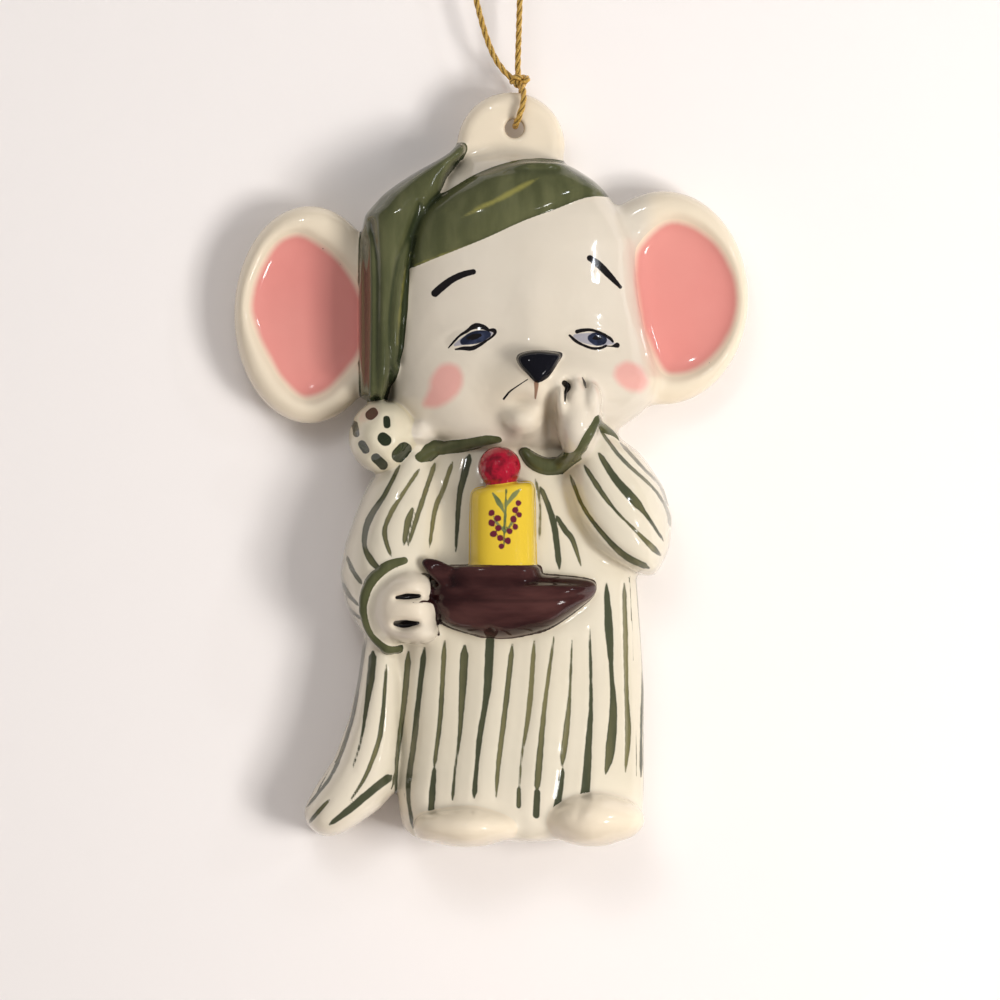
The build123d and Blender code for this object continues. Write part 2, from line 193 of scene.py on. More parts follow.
def curved(points, closed=False, parts=5):
    """A smooth line through given points, whose further columns, such as a width, follow too."""
    points = np.asarray(points, float)
    if len(points) < 3:
        return points
    if closed:
        padded = np.vstack([points[-1:], points, points[:2]])
    else:
        padded = np.vstack([2 * points[0] - points[1], points, 2 * points[-1] - points[-2]])
    line = []
    for a, b, c, d in zip(padded, padded[1:], padded[2:], padded[3:]):
        for step in range(parts):
            t = step / parts
            line.append(0.5 * (2 * b + (c - a) * t + (2 * a - 5 * b + 4 * c - d) * t * t
                               + (3 * b - a - 3 * c + d) * t ** 3))
    if not closed:
        line.append(points[-1])
    return np.array(line)


def inside_outline(column, row, outline):
    """Millimetres inside a closed outline of pixels, negative outside."""
    nearest = np.full(np.broadcast(column, row).shape, 1e9)
    inside = np.zeros(nearest.shape, bool)
    for (ax, ay), (bx, by) in zip(outline, np.roll(outline, -1, axis=0)):
        along, down = bx - ax, by - ay
        length = along * along + down * down + tiny
        part = np.clip(((column - ax) * along + (row - ay) * down) / length, 0, 1)
        nearest = np.minimum(nearest, np.hypot(column - ax - part * along, row - ay - part * down))
        crossing = along * (row - ay) / (down if abs(down) > tiny else tiny) + ax
        inside ^= ((ay > row) != (by > row)) & (column < crossing)
    return np.where(inside, nearest, -nearest) * mm_per_pixel


def inside_strokes(column, row, strokes, reach=9.0, tip=1.0):
    """Millimetres inside the nearest brush stroke, negative outside, and that stroke's shade.

    A stroke is its shade and a list of column, row and width in pixels. Nothing is measured more
    than reach pixels from its edge, and its ends have their widths times tip."""
    column, row = np.broadcast_arrays(column, row)
    depth = np.full(column.shape, -reach)
    shade = np.zeros(column.shape)
    for tone, points in strokes:
        line = curved(points)
        if len(line) == 1:
            line = np.vstack([line, line])
        elif len(line) > 2:
            line[[0, -1], 2] *= tip
        for (ax, ay, aw), (bx, by, bw) in zip(line, line[1:]):
            around = reach + max(aw, bw) / 2
            near = (
                (column > min(ax, bx) - around) & (column < max(ax, bx) + around)
                & (row > min(ay, by) - around) & (row < max(ay, by) + around)
            )
            if not near.any():
                continue
            x, y = column[near], row[near]
            along, down = bx - ax, by - ay
            length = along ** 2 + down ** 2 + tiny
            part = np.clip(((x - ax) * along + (y - ay) * down) / length, 0, 1)
            gap = np.hypot(x - ax - part * along, y - ay - part * down)
            inside = (aw + (bw - aw) * part) / 2 - gap
            better = inside > depth[near]
            depth[near] = np.where(better, inside, depth[near])
            shade[near] = np.where(better, tone, shade[near])
    return depth * mm_per_pixel, shade


# Forms of the members: each gives a function of x, y and z for the distance to its surface, and
# the corners of a box round it

def ellipsoid(column, row, half_width, half_height, front, half_depth):
    """An egg of clay: pixels in the photograph's plane, millimetres in depth."""
    centre = (across(column), half_depth - front, rise(row))
    radii = (half_width * mm_per_pixel, half_depth, half_height * mm_per_pixel)

    def shape(x, y, z):
        out = [(v - c) / r for v, c, r in zip((x, y, z), centre, radii)]
        length = np.sqrt(sum(v * v for v in out)) + tiny
        slope = np.sqrt(sum((v / r) ** 2 for v, r in zip(out, radii))) + tiny
        return length * (length - 1) / slope

    low = [c - r - margin for c, r in zip(centre, radii)]
    high = [c + r + margin for c, r in zip(centre, radii)]
    return shape, low, high


def swelling(rows, middle_depth=0.0, behind=back_swell, fullness=ring_fullness):
    """A member that swells and tapers: rows of row, left column, right column and front depth."""
    rows = sorted(rows, reverse=True)
    heights = rise([row[0] for row in rows])
    left, right = across([row[1] for row in rows]), across([row[2] for row in rows])
    depths = np.array([row[3] for row in rows])

    def shape(x, y, z):
        levels = z.ravel()
        count = max(int(row_softening / voxel), 1)
        kernel = np.hanning(count + 2)[1:-1]
        kernel /= kernel.sum()

        def soft(values):
            given = np.interp(levels, heights, values)
            padded = np.pad(given, (count // 2, count - 1 - count // 2), mode="edge")
            return np.convolve(padded, kernel, "valid")[None, None, :]

        middle = soft((left + right) / 2)
        half = np.sqrt(soft(((right - left) / 2) ** 2)) + least_half
        depth = np.sqrt(soft(depths ** 2)) + least_half
        reach = np.where(y < middle_depth, depth, behind)
        aside = (np.abs(x - middle) / half) ** fullness
        forward = (np.abs(y - middle_depth) / reach) ** fullness
        out = np.minimum((aside + forward + tiny) ** (1 / fullness), 5.0)
        slope = np.sqrt(sum(g * g for g in np.gradient(out, voxel)))
        field = np.clip((out - 1) / np.maximum(slope, least_slope), -distant, distant)
        ends = np.maximum(levels - heights[-1], heights[0] - levels)[None, None, :]
        return np.maximum(field, ends)

    back = min(middle_depth + behind, flat_back)
    low = (left.min() - margin, middle_depth - depths.max() - margin, heights[0] - margin)
    high = (right.max() + margin, back + margin, heights[-1] + margin)
    return shape, low, high


def plate(column, row, half_width, half_height, middle, thickness, edge):
    """An oval plate with a full, round rim."""
    centre_x, centre_z = across(column), rise(row)
    width, height = half_width * mm_per_pixel, half_height * mm_per_pixel

    def shape(x, y, z):
        aside, upward = (x - centre_x) / width, (z - centre_z) / height
        length = np.sqrt(aside ** 2 + upward ** 2) + tiny
        slope = np.sqrt((aside / width) ** 2 + (upward / height) ** 2) + tiny
        rim = length * (length - 1) / slope + edge
        face = np.abs(y - middle) - thickness / 2 + edge
        return round_corner(rim, face, edge)

    reach = np.array([width, thickness / 2, height]) + margin
    centre = np.array([centre_x, middle, centre_z])
    return shape, centre - reach, centre + reach


def rolled_line(points):
    """A bead along places of column, row, depth and radius in pixels."""
    line = curved(points)
    places = np.array([across(line[:, 0]), line[:, 2], rise(line[:, 1])]).T
    radii = line[:, 3] * mm_per_pixel

    def shape(x, y, z):
        field = np.full(np.broadcast(x, y, z).shape, distant)
        for start, end, radius, next_radius in zip(places, places[1:], radii, radii[1:]):
            run = end - start
            away = [v - s for v, s in zip((x, y, z), start)]
            part = np.clip(sum(v * r for v, r in zip(away, run)) / (run @ run + tiny), 0, 1)
            gap = np.sqrt(sum((v - part * r) ** 2 for v, r in zip(away, run)))
            field = np.minimum(field, gap - (radius + (next_radius - radius) * part))
        return field

    reach = radii.max() + thin_margin
    return shape, places.min(axis=0) - reach, places.max(axis=0) + reach


def barrel(left, right, top, bottom, middle, depth, fullness, edge, taper=0.0, tilt=0.0):
    """An upright drum: its sides and ends in pixels, its middle and half depth in millimetres."""
    left, right, top, bottom = across(left), across(right), rise(top), rise(bottom)

    def shape(x, y, z):
        half = (right - left) / 2 * (1 + taper * (top - z) / (top - bottom))
        aside, forward = (x - (left + right) / 2) / half, (y - middle) / depth
        length = np.abs(aside) ** fullness + np.abs(forward) ** fullness + tiny
        side = (length ** (1 / fullness) - 1) * np.minimum(half, depth)
        ends = np.maximum(z - top - tilt * (x - left), bottom - z)
        return smooth_max(side, ends, edge)

    low = np.array([left, middle - depth, bottom]) - thin_margin
    high = np.array([right, middle + depth, top]) + thin_margin
    return shape, low, high


class Clay:
    """A block of voxels that holds the distance to the surface, negative inside the clay."""

    def __init__(self):
        self.axes = [np.arange(a, b + voxel, voxel) for a, b in zip(block_low, block_high)]
        self.total = np.full([len(axis) for axis in self.axes], far, np.float32)
        self.claims = {}

    def window(self, low, high):
        """The slices of the voxels in a box, and their three coordinates."""
        where = []
        for axis, a, b in zip(self.axes, low, high):
            first, last = np.searchsorted(axis, (a, b))
            where.append(slice(max(int(first) - 1, 0), min(int(last) + 1, len(axis))))
        x, y, z = (axis[part] for axis, part in zip(self.axes, where))
        return tuple(where), x[:, None, None], y[None, :, None], z[None, None, :]

    def add(self, name, form, blend, claim=None):
        """Adds a member, which claims the clay that lies nearer to it than to any other."""
        shape, low, high = form
        where, x, y, z = self.window(low, high)
        size = [part.stop - part.start for part in where]
        field = np.broadcast_to(shape(x, y, z), size).astype(np.float32)
        self.total[where] = smooth_min(self.total[where], field, blend)
        if claim:
            field = np.broadcast_to(claim(x, y, z), size).astype(np.float32)
        if name in self.claims:
            self.join(name, where, field)
        else:
            self.claims[name] = (where, field)

    def join(self, name, where, field):
        """Widens a member's claim by another of its forms."""
        old_where, old_field = self.claims[name]
        both = tuple(slice(min(a.start, b.start), max(a.stop, b.stop))
                     for a, b in zip(old_where, where))
        joined = np.full([part.stop - part.start for part in both], distant, np.float32)
        for some, values in ((old_where, old_field), (where, field)):
            inner = tuple(slice(a.start - b.start, a.stop - b.start) for a, b in zip(some, both))
            joined[inner] = np.minimum(joined[inner], values)
        self.claims[name] = (both, joined)

    def cut(self, low, high, gone, edge):
        """Takes away what lies in a box where gone is positive, with a rounded edge."""
        where, x, y, z = self.window(low, high)
        self.total[where] = smooth_max(self.total[where], gone(x, y, z), edge)

    def front(self, column, row):
        """The depth of the foremost clay at a pixel."""
        i = int(round((float(across(column)) - block_low[0]) / voxel))
        k = int(round((float(rise(row)) - block_low[2]) / voxel))
        line = self.total[i, :, k]
        j = int(np.argmax(line < 0))
        if j == 0:
            return 0.0
        return float(self.axes[1][j] - voxel * line[j] / (line[j] - line[j - 1]))

    def relief(self, columns, rows, height, near=-1.0, full=-3.0):
        """Raises the front of the clay by a height that depends on column and row."""
        low = (across(columns[0]), block_low[1], rise(rows[1]))
        high = (across(columns[1]), near, rise(rows[0]))
        where, x, y, z = self.window(low, high)
        raised = height(column_of(x), row_of(z)) * ramp(y, near, full)
        self.total[where] -= raised.astype(np.float32)

    def soften(self, times):
        """Evens out the clay, a voxel at a time."""
        for _ in range(times):
            for axis in range(3):
                middle = [slice(None)] * 3
                before, after = list(middle), list(middle)
                middle[axis], before[axis], after[axis] = slice(1, -1), slice(0, -2), slice(2, None)
                t = self.total
                beside = t[tuple(before)] + t[tuple(after)]
                t[tuple(middle)] = t[tuple(middle)] / 2 + beside / 4

    def divide(self):
        """Finds the nearest and second nearest claim at every voxel."""
        self.first = np.full(self.total.shape, distant, np.float32)
        self.second = np.full(self.total.shape, distant, np.float32)
        self.owner = np.full(self.total.shape, -1, np.int8)
        for number, (where, field) in enumerate(self.claims.values()):
            first, second = self.first[where], self.second[where]
            nearer = field < first
            second[:] = np.where(nearer, first, np.minimum(second, field))
            first[:] = np.where(nearer, field, first)
            self.owner[where][nearer] = number

    def shell(self, name):
        """The closed surface of one member's share: points in millimetres, quads, and how far the
        share is sunk under the clay, as a field and the place of its first voxel."""
        where, field = self.claims[name]
        number = list(self.claims).index(name)
        others = np.where(self.owner[where] == number, self.second[where], self.first[where])
        beyond = (field - others) / 2
        sunk = under * np.maximum(beyond, 0) + dive * np.maximum(beyond - overlap, 0)
        skin = np.maximum(self.total[where] + sunk, beyond - lap)
        grid = openvdb.FloatGrid(far)
        grid.copyFromArray(np.pad(np.minimum(skin, far), 1, constant_values=far))
        points, quads = grid.convertToQuads(0.0)
        start = [axis[part.start] for axis, part in zip(self.axes, where)]
        points = (points.astype(float) - 1) * voxel + start
        points, quads = without_crumbs(points, quads)
        return points, quads, (sunk, start)

    def claim_at(self, names, points):
        """How near the nearest of some members' claims lies to each point."""
        nearest = np.full(len(points), distant)
        for name in names:
            where, field = self.claims[name]
            start = np.array([axis[part.start] for axis, part in zip(self.axes, where)])
            spots = (points - start) / voxel
            inside = ((spots >= 0) & (spots <= np.array(field.shape) - 1.001)).all(axis=1)
            if inside.any():
                claim = self.sample(field, points[inside], start)
                nearest[inside] = np.minimum(nearest[inside], claim)
        return nearest

    def sample(self, values, points, start=block_low):
        """Values of a field between the voxels."""
        spots = (points - np.array(start)) / voxel
        base = np.clip(spots.astype(int), 0, np.array(values.shape) - 2)
        part = spots - base
        result = 0
        for corner in range(8):
            step = np.array([corner & 1, corner >> 1 & 1, corner >> 2 & 1])
            weight = np.prod(np.where(step, part, 1 - part), axis=1)
            at = base + step
            result = result + weight * values[at[:, 0], at[:, 1], at[:, 2]]
        return result

    def slope(self, points):
        """Outward direction of the finished clay."""
        step = voxel * slope_step
        rises = []
        for move in np.eye(3) * step:
            rises.append(self.sample(self.total, points + move)
                         - self.sample(self.total, points - move))
        return np.array(rises).T / (2 * step)

    def settle(self, points, sunk, start):
        """Moves points that lie close to a share's surface onto it."""
        gap = self.sample(self.total, points) + self.sample(sunk, points, start)
        slope = self.slope(points)
        shift = slope * (gap / np.maximum((slope ** 2).sum(axis=1), least_fall))[:, None]
        close = (np.abs(gap) < voxel * settle_reach)[:, None]
        return np.where(close, points - shift, points)

    def hollowness(self, radius):
        """How far the surroundings are fuller of clay than at a flat place."""
        count = max(int(radius / voxel), 1)
        width = 2 * count + 1
        values = self.total.copy()
        for axis in range(3):
            pads = [(count + 1, count) if other == axis else (0, 0) for other in range(3)]
            sums = np.cumsum(np.pad(values, pads, mode="edge"), axis=axis, dtype=np.float32)
            upper = np.take(sums, range(width, sums.shape[axis]), axis=axis)
            lower = np.take(sums, range(0, sums.shape[axis] - width), axis=axis)
            values = (upper - lower) / width
        return -values


def without_crumbs(points, quads):
    """Drops loose shells that are only crumbs."""
    label = np.arange(len(points))
    ends = np.vstack([quads[:, [0, 1]], quads[:, [1, 2]], quads[:, [2, 3]]])
    while True:
        a, b = label[ends[:, 0]], label[ends[:, 1]]
        differ = a != b
        if not differ.any():
            break
        ends = ends[differ]
        lower, upper = np.minimum(a, b)[differ], np.maximum(a, b)[differ]
        np.minimum.at(label, upper, lower)
        while True:
            jumped = label[label]
            if (jumped == label).all():
                break
            label = jumped
    roots, counts = np.unique(label, return_counts=True)
    kept = np.isin(label, roots[counts >= crumb])
    number = np.cumsum(kept) - 1
    return points[kept], number[quads[kept[quads[:, 0]]]]


# The large members: row, left and right column, front depth
head_rows = (
    (455, 512, 512, 0), (450, 470, 575, 5.6), (442, 436, 605, 7.4), (430, 412, 618, 8.4),
    (415, 397, 640, 9.0), (400, 388, 655, 9.5), (380, 384, 661, 9.8), (360, 383, 654, 9.9),
    (330, 384, 645, 9.8), (300, 384, 639, 9.6), (270, 385, 636, 9.2), (240, 388, 634, 8.6),
    (215, 398, 623, 7.9), (195, 412, 607, 7.0), (180, 432, 590, 6.0), (168, 460, 565, 4.4),
    (160, 510, 510, 0),
)
shirt_rows = (
    (842, 515, 515, 0), (839, 416, 600, 5.5), (830, 404, 638, 6.8), (815, 400, 643, 7.2),
    (790, 397, 644, 7.4), (740, 394, 644, 7.5), (690, 386, 644, 7.6), (640, 374, 641, 7.9),
    (585, 376, 637, 8.0), (540, 388, 632, 7.8), (490, 402, 618, 7.0), (455, 418, 598, 5.9),
    (430, 445, 570, 4.5), (420, 508, 508, 0),
)
right_sleeve_rows = (
    (656, 388, 388, 0), (650, 378, 398, 6.5), (632, 361, 415, 8.8), (605, 346, 432, 9.6),
    (575, 340, 446, 9.8), (545, 345, 452, 9.6), (510, 357, 452, 8.8), (480, 371, 442, 7.6),
    (465, 386, 434, 6.6), (452, 399, 430, 5.9), (443, 407, 424, 4.8), (436, 414, 414, 0),
)
left_sleeve_rows = (
    (576, 650, 650, 0), (571, 634, 657, 7.5), (562, 610, 663, 8.9), (545, 580, 670, 9.9),
    (518, 562, 672, 10.6), (489, 556, 664, 10.6), (460, 562, 645, 9.9), (440, 574, 621, 8.9),
    (425, 588, 606, 7.7), (415, 597, 597, 0),
)
train_rows = (
    (837, 328, 328, 0), (832, 313, 346, 4.0), (822, 305, 363, 5.2), (810, 304, 380, 5.8),
    (790, 314, 397, 6.2), (760, 334, 402, 6.4), (720, 349, 403, 6.4), (680, 358, 404, 6.4),
    (644, 363, 400, 5.6), (625, 385, 385, 0),
)
tail_rows = (
    (402, 374, 374, 0), (398, 361, 387, 6.4), (380, 360, 398, 7.4), (350, 359, 410, 7.8),
    (310, 359, 415, 8.0), (270, 359, 417, 8.0), (240, 360, 425, 8.0), (215, 365, 436, 7.8),
    (195, 383, 446, 7.2), (178, 407, 448, 6.4), (164, 432, 454, 5.4), (154, 449, 465, 4.6),
    (147, 456, 467, 4.0), (143, 461, 461, 0),
)
bowl_rows = (
    (637, 500, 500, 0), (633.5, 466, 531, 2.3), (626, 447, 552, 3.6), (616, 437, 569, 4.4),
    (605, 429, 584, 4.9), (597, 425, 593, 5.2), (590, 425, 597, 5.2), (585, 431, 597, 4.9),
    (581.5, 510, 510, 0),
)
saucer_rows = (
    (604, 505, 505, 0), (598, 434, 586, 3.6), (590, 430, 596, 3.8), (583, 431, 595, 3.6),
    (579, 434, 589, 3.4), (576, 468, 525, 3.0), (574.5, 500, 500, 0),
)

# Outlines, in pixels
right_pool_outline = curved((
    (248, 312), (255, 274), (273, 243), (297, 231.5), (320, 241), (341, 259), (358, 283),
    (369, 318), (362, 354), (348, 373), (327, 394), (303, 400), (281, 382), (262, 350),
), closed=True)
left_pool_outline = curved((
    (638.8, 243), (671, 217.8), (709.6, 233), (734.5, 267.5), (741, 306), (728.7, 342), (706, 367),
    (681, 376.6), (660, 371), (641, 330), (632, 275),
), closed=True)
band_outline = np.vstack([curved((
    (403, 270), (414, 267.6), (434, 259.5), (461, 249), (488, 238), (522.7, 222), (555, 210),
    (587, 197.5), (612, 196.5),
), parts=3), curved((
    (612, 196.5), (595, 178), (571, 163), (555, 158.5), (528, 158.5), (501, 164.5), (474.5, 175),
    (447.7, 191), (420, 205), (400, 240),
), parts=3)])
nose_outline = curved((
    (518, 359), (523, 355.5), (541, 353.4), (559.5, 354), (561, 357), (556, 365), (548, 377.5),
    (540.5, 382), (535.5, 382.4), (528.5, 374.5), (520.5, 366),
), closed=True, parts=3)
# Beads that are laid on the clay: column, row and radius, in pixels
cuff_bead = (
    (405, 560, 3), (391, 564.5, 4.6), (378, 573.9, 5.2), (369, 585, 5.4), (364.8, 598, 5.4),
    (364, 608, 5.4), (366, 619, 5.4), (371, 631, 5.4), (379, 641, 5.6), (388, 647, 5.8),
    (398.5, 649, 4),
)
right_collar_beads = (
    ((418, 459, 6.2), (427, 453.5, 7.2), (437, 448.5, 6.8), (446, 446, 5.4)),
    ((442, 449.5, 4.8), (456, 445.5, 7), (472, 441.5, 7.4), (487, 439, 7), (497.5, 438.5, 4.6)),
)
left_collar_beads = (
    ((524.5, 452.5, 4.5), (533, 461, 7), (545, 466, 8), (557, 465.5, 8), (568, 458, 8),
     (578, 447.5, 7), (587, 436, 6), (596.5, 421.5, 4)),
    ((596.5, 422, 3), (604, 428, 4), (611, 434, 4.5), (617, 439, 3)),
)

# The thumb hook's two beads: column, row, depth and radius
handle_beads = (
    ((426, 562.5, -9.9, 4.6), (432, 569, -10.3, 5.2), (440, 577, -10.4, 5.8),
     (447, 584, -10.4, 6.5)),
    ((428, 561.5, -9.9, 4.0), (437, 564, -10.2, 5.0), (448, 570, -10.4, 5.5)),
)


def ear_forms(column, row, half_width, half_height, pool):
    """An ear: an oval plate with a bowl sunk in it, and the claim of the glaze in the bowl."""
    oval, low, high = plate(column, row, half_width, half_height,
                            ear_middle, ear_thickness, ear_rim_round)
    face = ear_middle - ear_thickness / 2

    def pool_depth(x, z):
        return inside_outline(column_of(x), row_of(z), pool)

    def floor(x, z):
        inside = pool_depth(x, z) + ear_lip
        sunk = ear_bowl_depth * (1 - np.exp(-np.maximum(inside, 0) / ear_bowl_slope))
        return face + sunk + np.minimum(inside, 0)

    def shape(x, y, z):
        return smooth_max(oval(x, y, z), floor(x, z) - y, ear_bowl_edge)

    def pool_claim(x, y, z):
        level = floor(x, z)
        inside = np.minimum(pool_depth(x, z), level + glaze_pool_depth - y)
        inside = np.minimum(inside, y - level + glaze_pool_height)
        return claim_within(shape(x, y, z), inside)

    return (shape, low, high), pool_claim


def band_forms():
    """The brow band, a soft roll over the head, and its claim."""
    head_shape, low, high = swelling(head_rows)
    low = (across(395), low[1] - band_proud, rise(280))
    high = (across(620), high[1], rise(148))

    def inside(x, z):
        return inside_outline(column_of(x), row_of(z), band_outline)

    def shape(x, y, z):
        depth = inside(x, z)
        proud = band_proud * (1 - np.exp(-np.maximum(depth, 0) / band_roll))
        return smooth_max(head_shape(x, y, z) - proud, -depth, band_edge)

    def claim(x, y, z):
        body = head_shape(x, y, z)
        depth = np.minimum(inside(x, z), body + band_clay_depth)
        return claim_within(np.minimum(body, shape(x, y, z)), depth)

    return (shape, low, high), claim


def nose_forms():
    """The nose, a rounded button that leans back, and its claim, which follows its outline."""
    middle, half, edge, lean = -11.4, 1.9, 1.0, 0.16

    def inside(x, z):
        return inside_outline(column_of(x), row_of(z), nose_outline)

    def shape(x, y, z):
        face = np.abs(y - (middle + lean * (z - rise(367)))) - half + edge
        return round_corner(edge - inside(x, z), face, edge)

    def claim(x, y, z):
        return claim_within(shape(x, y, z), inside(x, z))

    low = (across(510), -15.5, rise(390))
    high = (across(570), -8.0, rise(345))
    return (shape, low, high), claim


def bead_on(clay, points, sink=0.0):
    """A bead laid on the front of the clay, at places of column, row and radius in pixels."""
    depths = [clay.front(column, row) + sink for column, row, radius in points]
    smooth = np.convolve(np.pad(depths, 1, mode="edge"), (0.25, 0.5, 0.25), "valid")
    return rolled_line([(column, row, depth, radius)
                        for (column, row, radius), depth in zip(points, smooth)])


def model_body(clay):
    """Head, nightshirt, ears, lug, crown, arms and train."""
    clay.add("head", swelling(head_rows), 0.5)
    clay.add("nightshirt", swelling(shirt_rows), 0.7)
    for name, oval, pool in (
        ("right_ear", (309, 314, 75.6, 109), right_pool_outline),
        ("left_ear", (664, 297, 85, 107), left_pool_outline),
    ):
        form, claim = ear_forms(*oval, pool)
        clay.add(name, form, 1.1)
        clay.add(name + "_lining", form, 0.05, claim)
    clay.add("hanging_lug", plate(511, 145, 54, 54, 0, 4.4, 1.7), 0.8)
    clay.add("cap_crown", ellipsoid(508, 182, 56, 33, 4.9, 4.9), 1.4)
    clay.add("right_sleeve", swelling(right_sleeve_rows), 0.9)
    clay.add("left_sleeve", swelling(left_sleeve_rows), 0.9)
    clay.add("shirt_train", swelling(train_rows), 0.7)


def model_cap_and_face(clay):
    """The cap's band and tail, and the muzzle, chin and nose."""
    form, claim = band_forms()
    clay.add("cap_band", form, 0.15, claim)
    clay.add("cap_tail", swelling(tail_rows, fullness=2.6), 0.35)
    clay.add("muzzle", ellipsoid(545, 385, 62, 39, 12.6, 6.5), 2.4)
    clay.add("chin", ellipsoid(524, 418, 23, 20, 11.7, 4.5), 1.3)
    form, claim = nose_forms()
    clay.add("nose", form, 0.5, claim)


def model_hands(clay):
    """Both hands with their fingers, and the pom-pom, with the clay that joins it to the head."""
    clay.add("left_hand", ellipsoid(577, 419, 22, 38, 13.9, 4.8), 1.3)
    for column, row, width in ((561, 402, 8), (575.5, 397, 9.5), (591.5, 401, 8.5)):
        clay.add("left_hand", ellipsoid(column, row, width, 17, 14.0, 2.6), 0.9)
    clay.add("right_hand", ellipsoid(404, 605, 31, 36.5, 11.9, 4.6), 0.5)
    for column, row, height in ((413.5, 587, 13), (416.5, 610, 13.5), (420, 632, 10.5)):
        clay.add("right_hand", ellipsoid(column, row, 16.5, height, 12.2, 3.0), 1.8)
    clay.add("head", ellipsoid(417, 433, 15, 11, 7.0, 3.8), 1.6)
    clay.add("pom_pom", ellipsoid(383, 437, 34.5, 37, 9.4, 6.2), 0.4)


def model_trim(clay):
    """The cuff and the collar."""
    clay.add("right_cuff", bead_on(clay, cuff_bead, 0.05), 0.25)
    for name, bead, sink, blend in (
        ("right_collar", right_collar_beads[0], 0.1, 0.25),
        ("right_collar", right_collar_beads[1], 0.1, 0.2),
        ("left_collar", left_collar_beads[0], -0.3, 0.25),
        ("left_collar", left_collar_beads[1], 0.1, 0.25),
    ):
        clay.add(name, bead_on(clay, bead, sink), blend)


def model_candlestick(clay):
    """The dish with its socket, candle, flame and thumb hook."""
    for rows, fullness, blend in ((bowl_rows, 2.5, 0.35), (saucer_rows, 2.8, 0.25)):
        dish = swelling(rows, middle_depth=-7.5, behind=3.4, fullness=fullness)
        clay.add("dish", dish, blend)
    socket = barrel(446, 541, 565.5, 592, middle=-8.1, depth=4.4, fullness=2.6, edge=0.5)
    clay.add("candle_socket", socket, 0.3)
    candle = barrel(470.5, 535, 489, 572, middle=-8.2, depth=3.8, fullness=2.4, edge=1.1,
                    taper=0.02, tilt=0.13)
    clay.add("candle", candle, 0.2)
    clay.add("flame", ellipsoid(499.5, 467.5, 21.5, 21, 12.0, 2.7), 0.25)
    for bead in handle_beads:
        clay.add("dish_handle", rolled_line(bead), 0.3)


def model_figure():
    """Builds the whole casting."""
    clay = Clay()
    model_body(clay)
    model_cap_and_face(clay)
    model_hands(clay)
    model_trim(clay)
    model_candlestick(clay)
    clay.add("right_foot", ellipsoid(467, 826, 52.5, 21, 10.6, 5.6), 0.7)
    clay.add("left_foot", ellipsoid(594, 819, 49.5, 27.5, 10.8, 5.8), 0.7)
    carve(clay)
    clay.cut(block_low, block_high, lambda x, y, z: y - flat_back, back_edge)
    clay.cut((-3, -6, -3), (3, flat_back + 1, 3),
             lambda x, y, z: hole_radius - np.hypot(x, z), hole_edge)
    clay.soften(2)
    clay.divide()
    return clay


# Brush strokes: a shade, from the light tone at 0 to the dark at 1, and places of column, row and
# width in pixels

def brushed(*lines, shade=1):
    """Strokes of one shade."""
    return tuple((shade, line) for line in lines)


def dotted(*places):
    """Round touches of the brush."""
    return tuple((1, (place,)) for place in places)


skirt_stripes = (
    (0.65, ((365, 640, 3), (358.9, 682, 3.5), (351, 723, 4), (333.4, 771.7, 3.5),
            (306.6, 807.4, 3))),
    (0.8, ((373, 652, 8), (370.5, 680, 8), (367, 702.9, 5), (361, 740, 2.5), (352, 770, 1.5))),
    (0.45, ((386.4, 664, 3), (384, 700, 4), (379.3, 738.6, 5), (366, 775, 4), (350, 801, 2))),
    (0.9, ((391, 776, 8.5), (375, 788, 8), (350, 809, 7.5), (329, 825, 4))),
    (0.45, ((330, 799, 2.5), (319, 811, 4), (309, 823, 3.5))),
    (0.65, ((408.5, 652, 6.5), (404.5, 700, 6), (397.5, 755, 4.5), (396, 790, 3), (398, 826, 2.5))),
    (0.7, ((424.5, 648, 6), (418.5, 700, 5.5), (414, 742, 6), (409, 777, 6), (408.6, 800, 4),
           (413, 828, 4))),
    (0.4, ((444.6, 641, 5), (442, 690, 5), (439.5, 725, 5), (434, 768, 4))),
    (0.85, ((434.5, 766, 4), (432.5, 790, 6.5), (431, 814, 6.5))),
    (0.7, ((464.7, 646, 9), (462.5, 690, 7.5), (459.6, 735, 4), (455, 770, 2.5), (452.5, 800, 4))),
    (0.95, ((490.5, 630, 9), (488, 680, 8.5), (485, 706, 6), (480, 735, 6), (476.5, 768, 4.5),
            (474, 798, 6))),
    (0.45, ((512.4, 644, 5.5), (506, 703, 5.5), (498.5, 764, 5), (496, 798, 2.5))),
    (0.25, ((534.4, 640, 4.5), (529, 710, 5.5), (522, 753.9, 2.5), (519, 790, 2))),
    (0.4, ((519, 789, 4), (518.5, 806, 5))),
    (0.45, ((554, 636.5, 2.5), (548, 680, 4), (543.8, 713, 5), (539, 765, 7), (537, 790, 6))),
    (0.9, ((537, 792, 6.5), (536.2, 815, 7))),
    (0.3, ((572, 640, 2), (570, 690, 3), (567, 725, 6), (562, 765, 6))),
    (0.85, ((563, 768, 5), (559, 795, 7), (555.5, 817, 7.5))),
    (0.85, ((589.7, 628, 2.5), (591, 700, 4), (588.5, 745, 7), (586, 785, 9), (583, 801, 10),
            (576, 817, 4.5))),
    (0.8, ((606.3, 583, 4.5), (609, 630, 8.5), (611.5, 672, 4.5), (613.3, 712, 8),
           (610, 752, 9.5), (605.5, 774, 3))),
    (0.35, ((624.2, 583, 4), (625.5, 640, 5), (626.5, 690, 4.5), (628, 735, 6), (625.5, 772, 2.5))),
    (0.55, ((637, 583, 2.5), (643.0, 655, 3), (641.5, 720, 2.5), (641, 777, 3.5))),
)
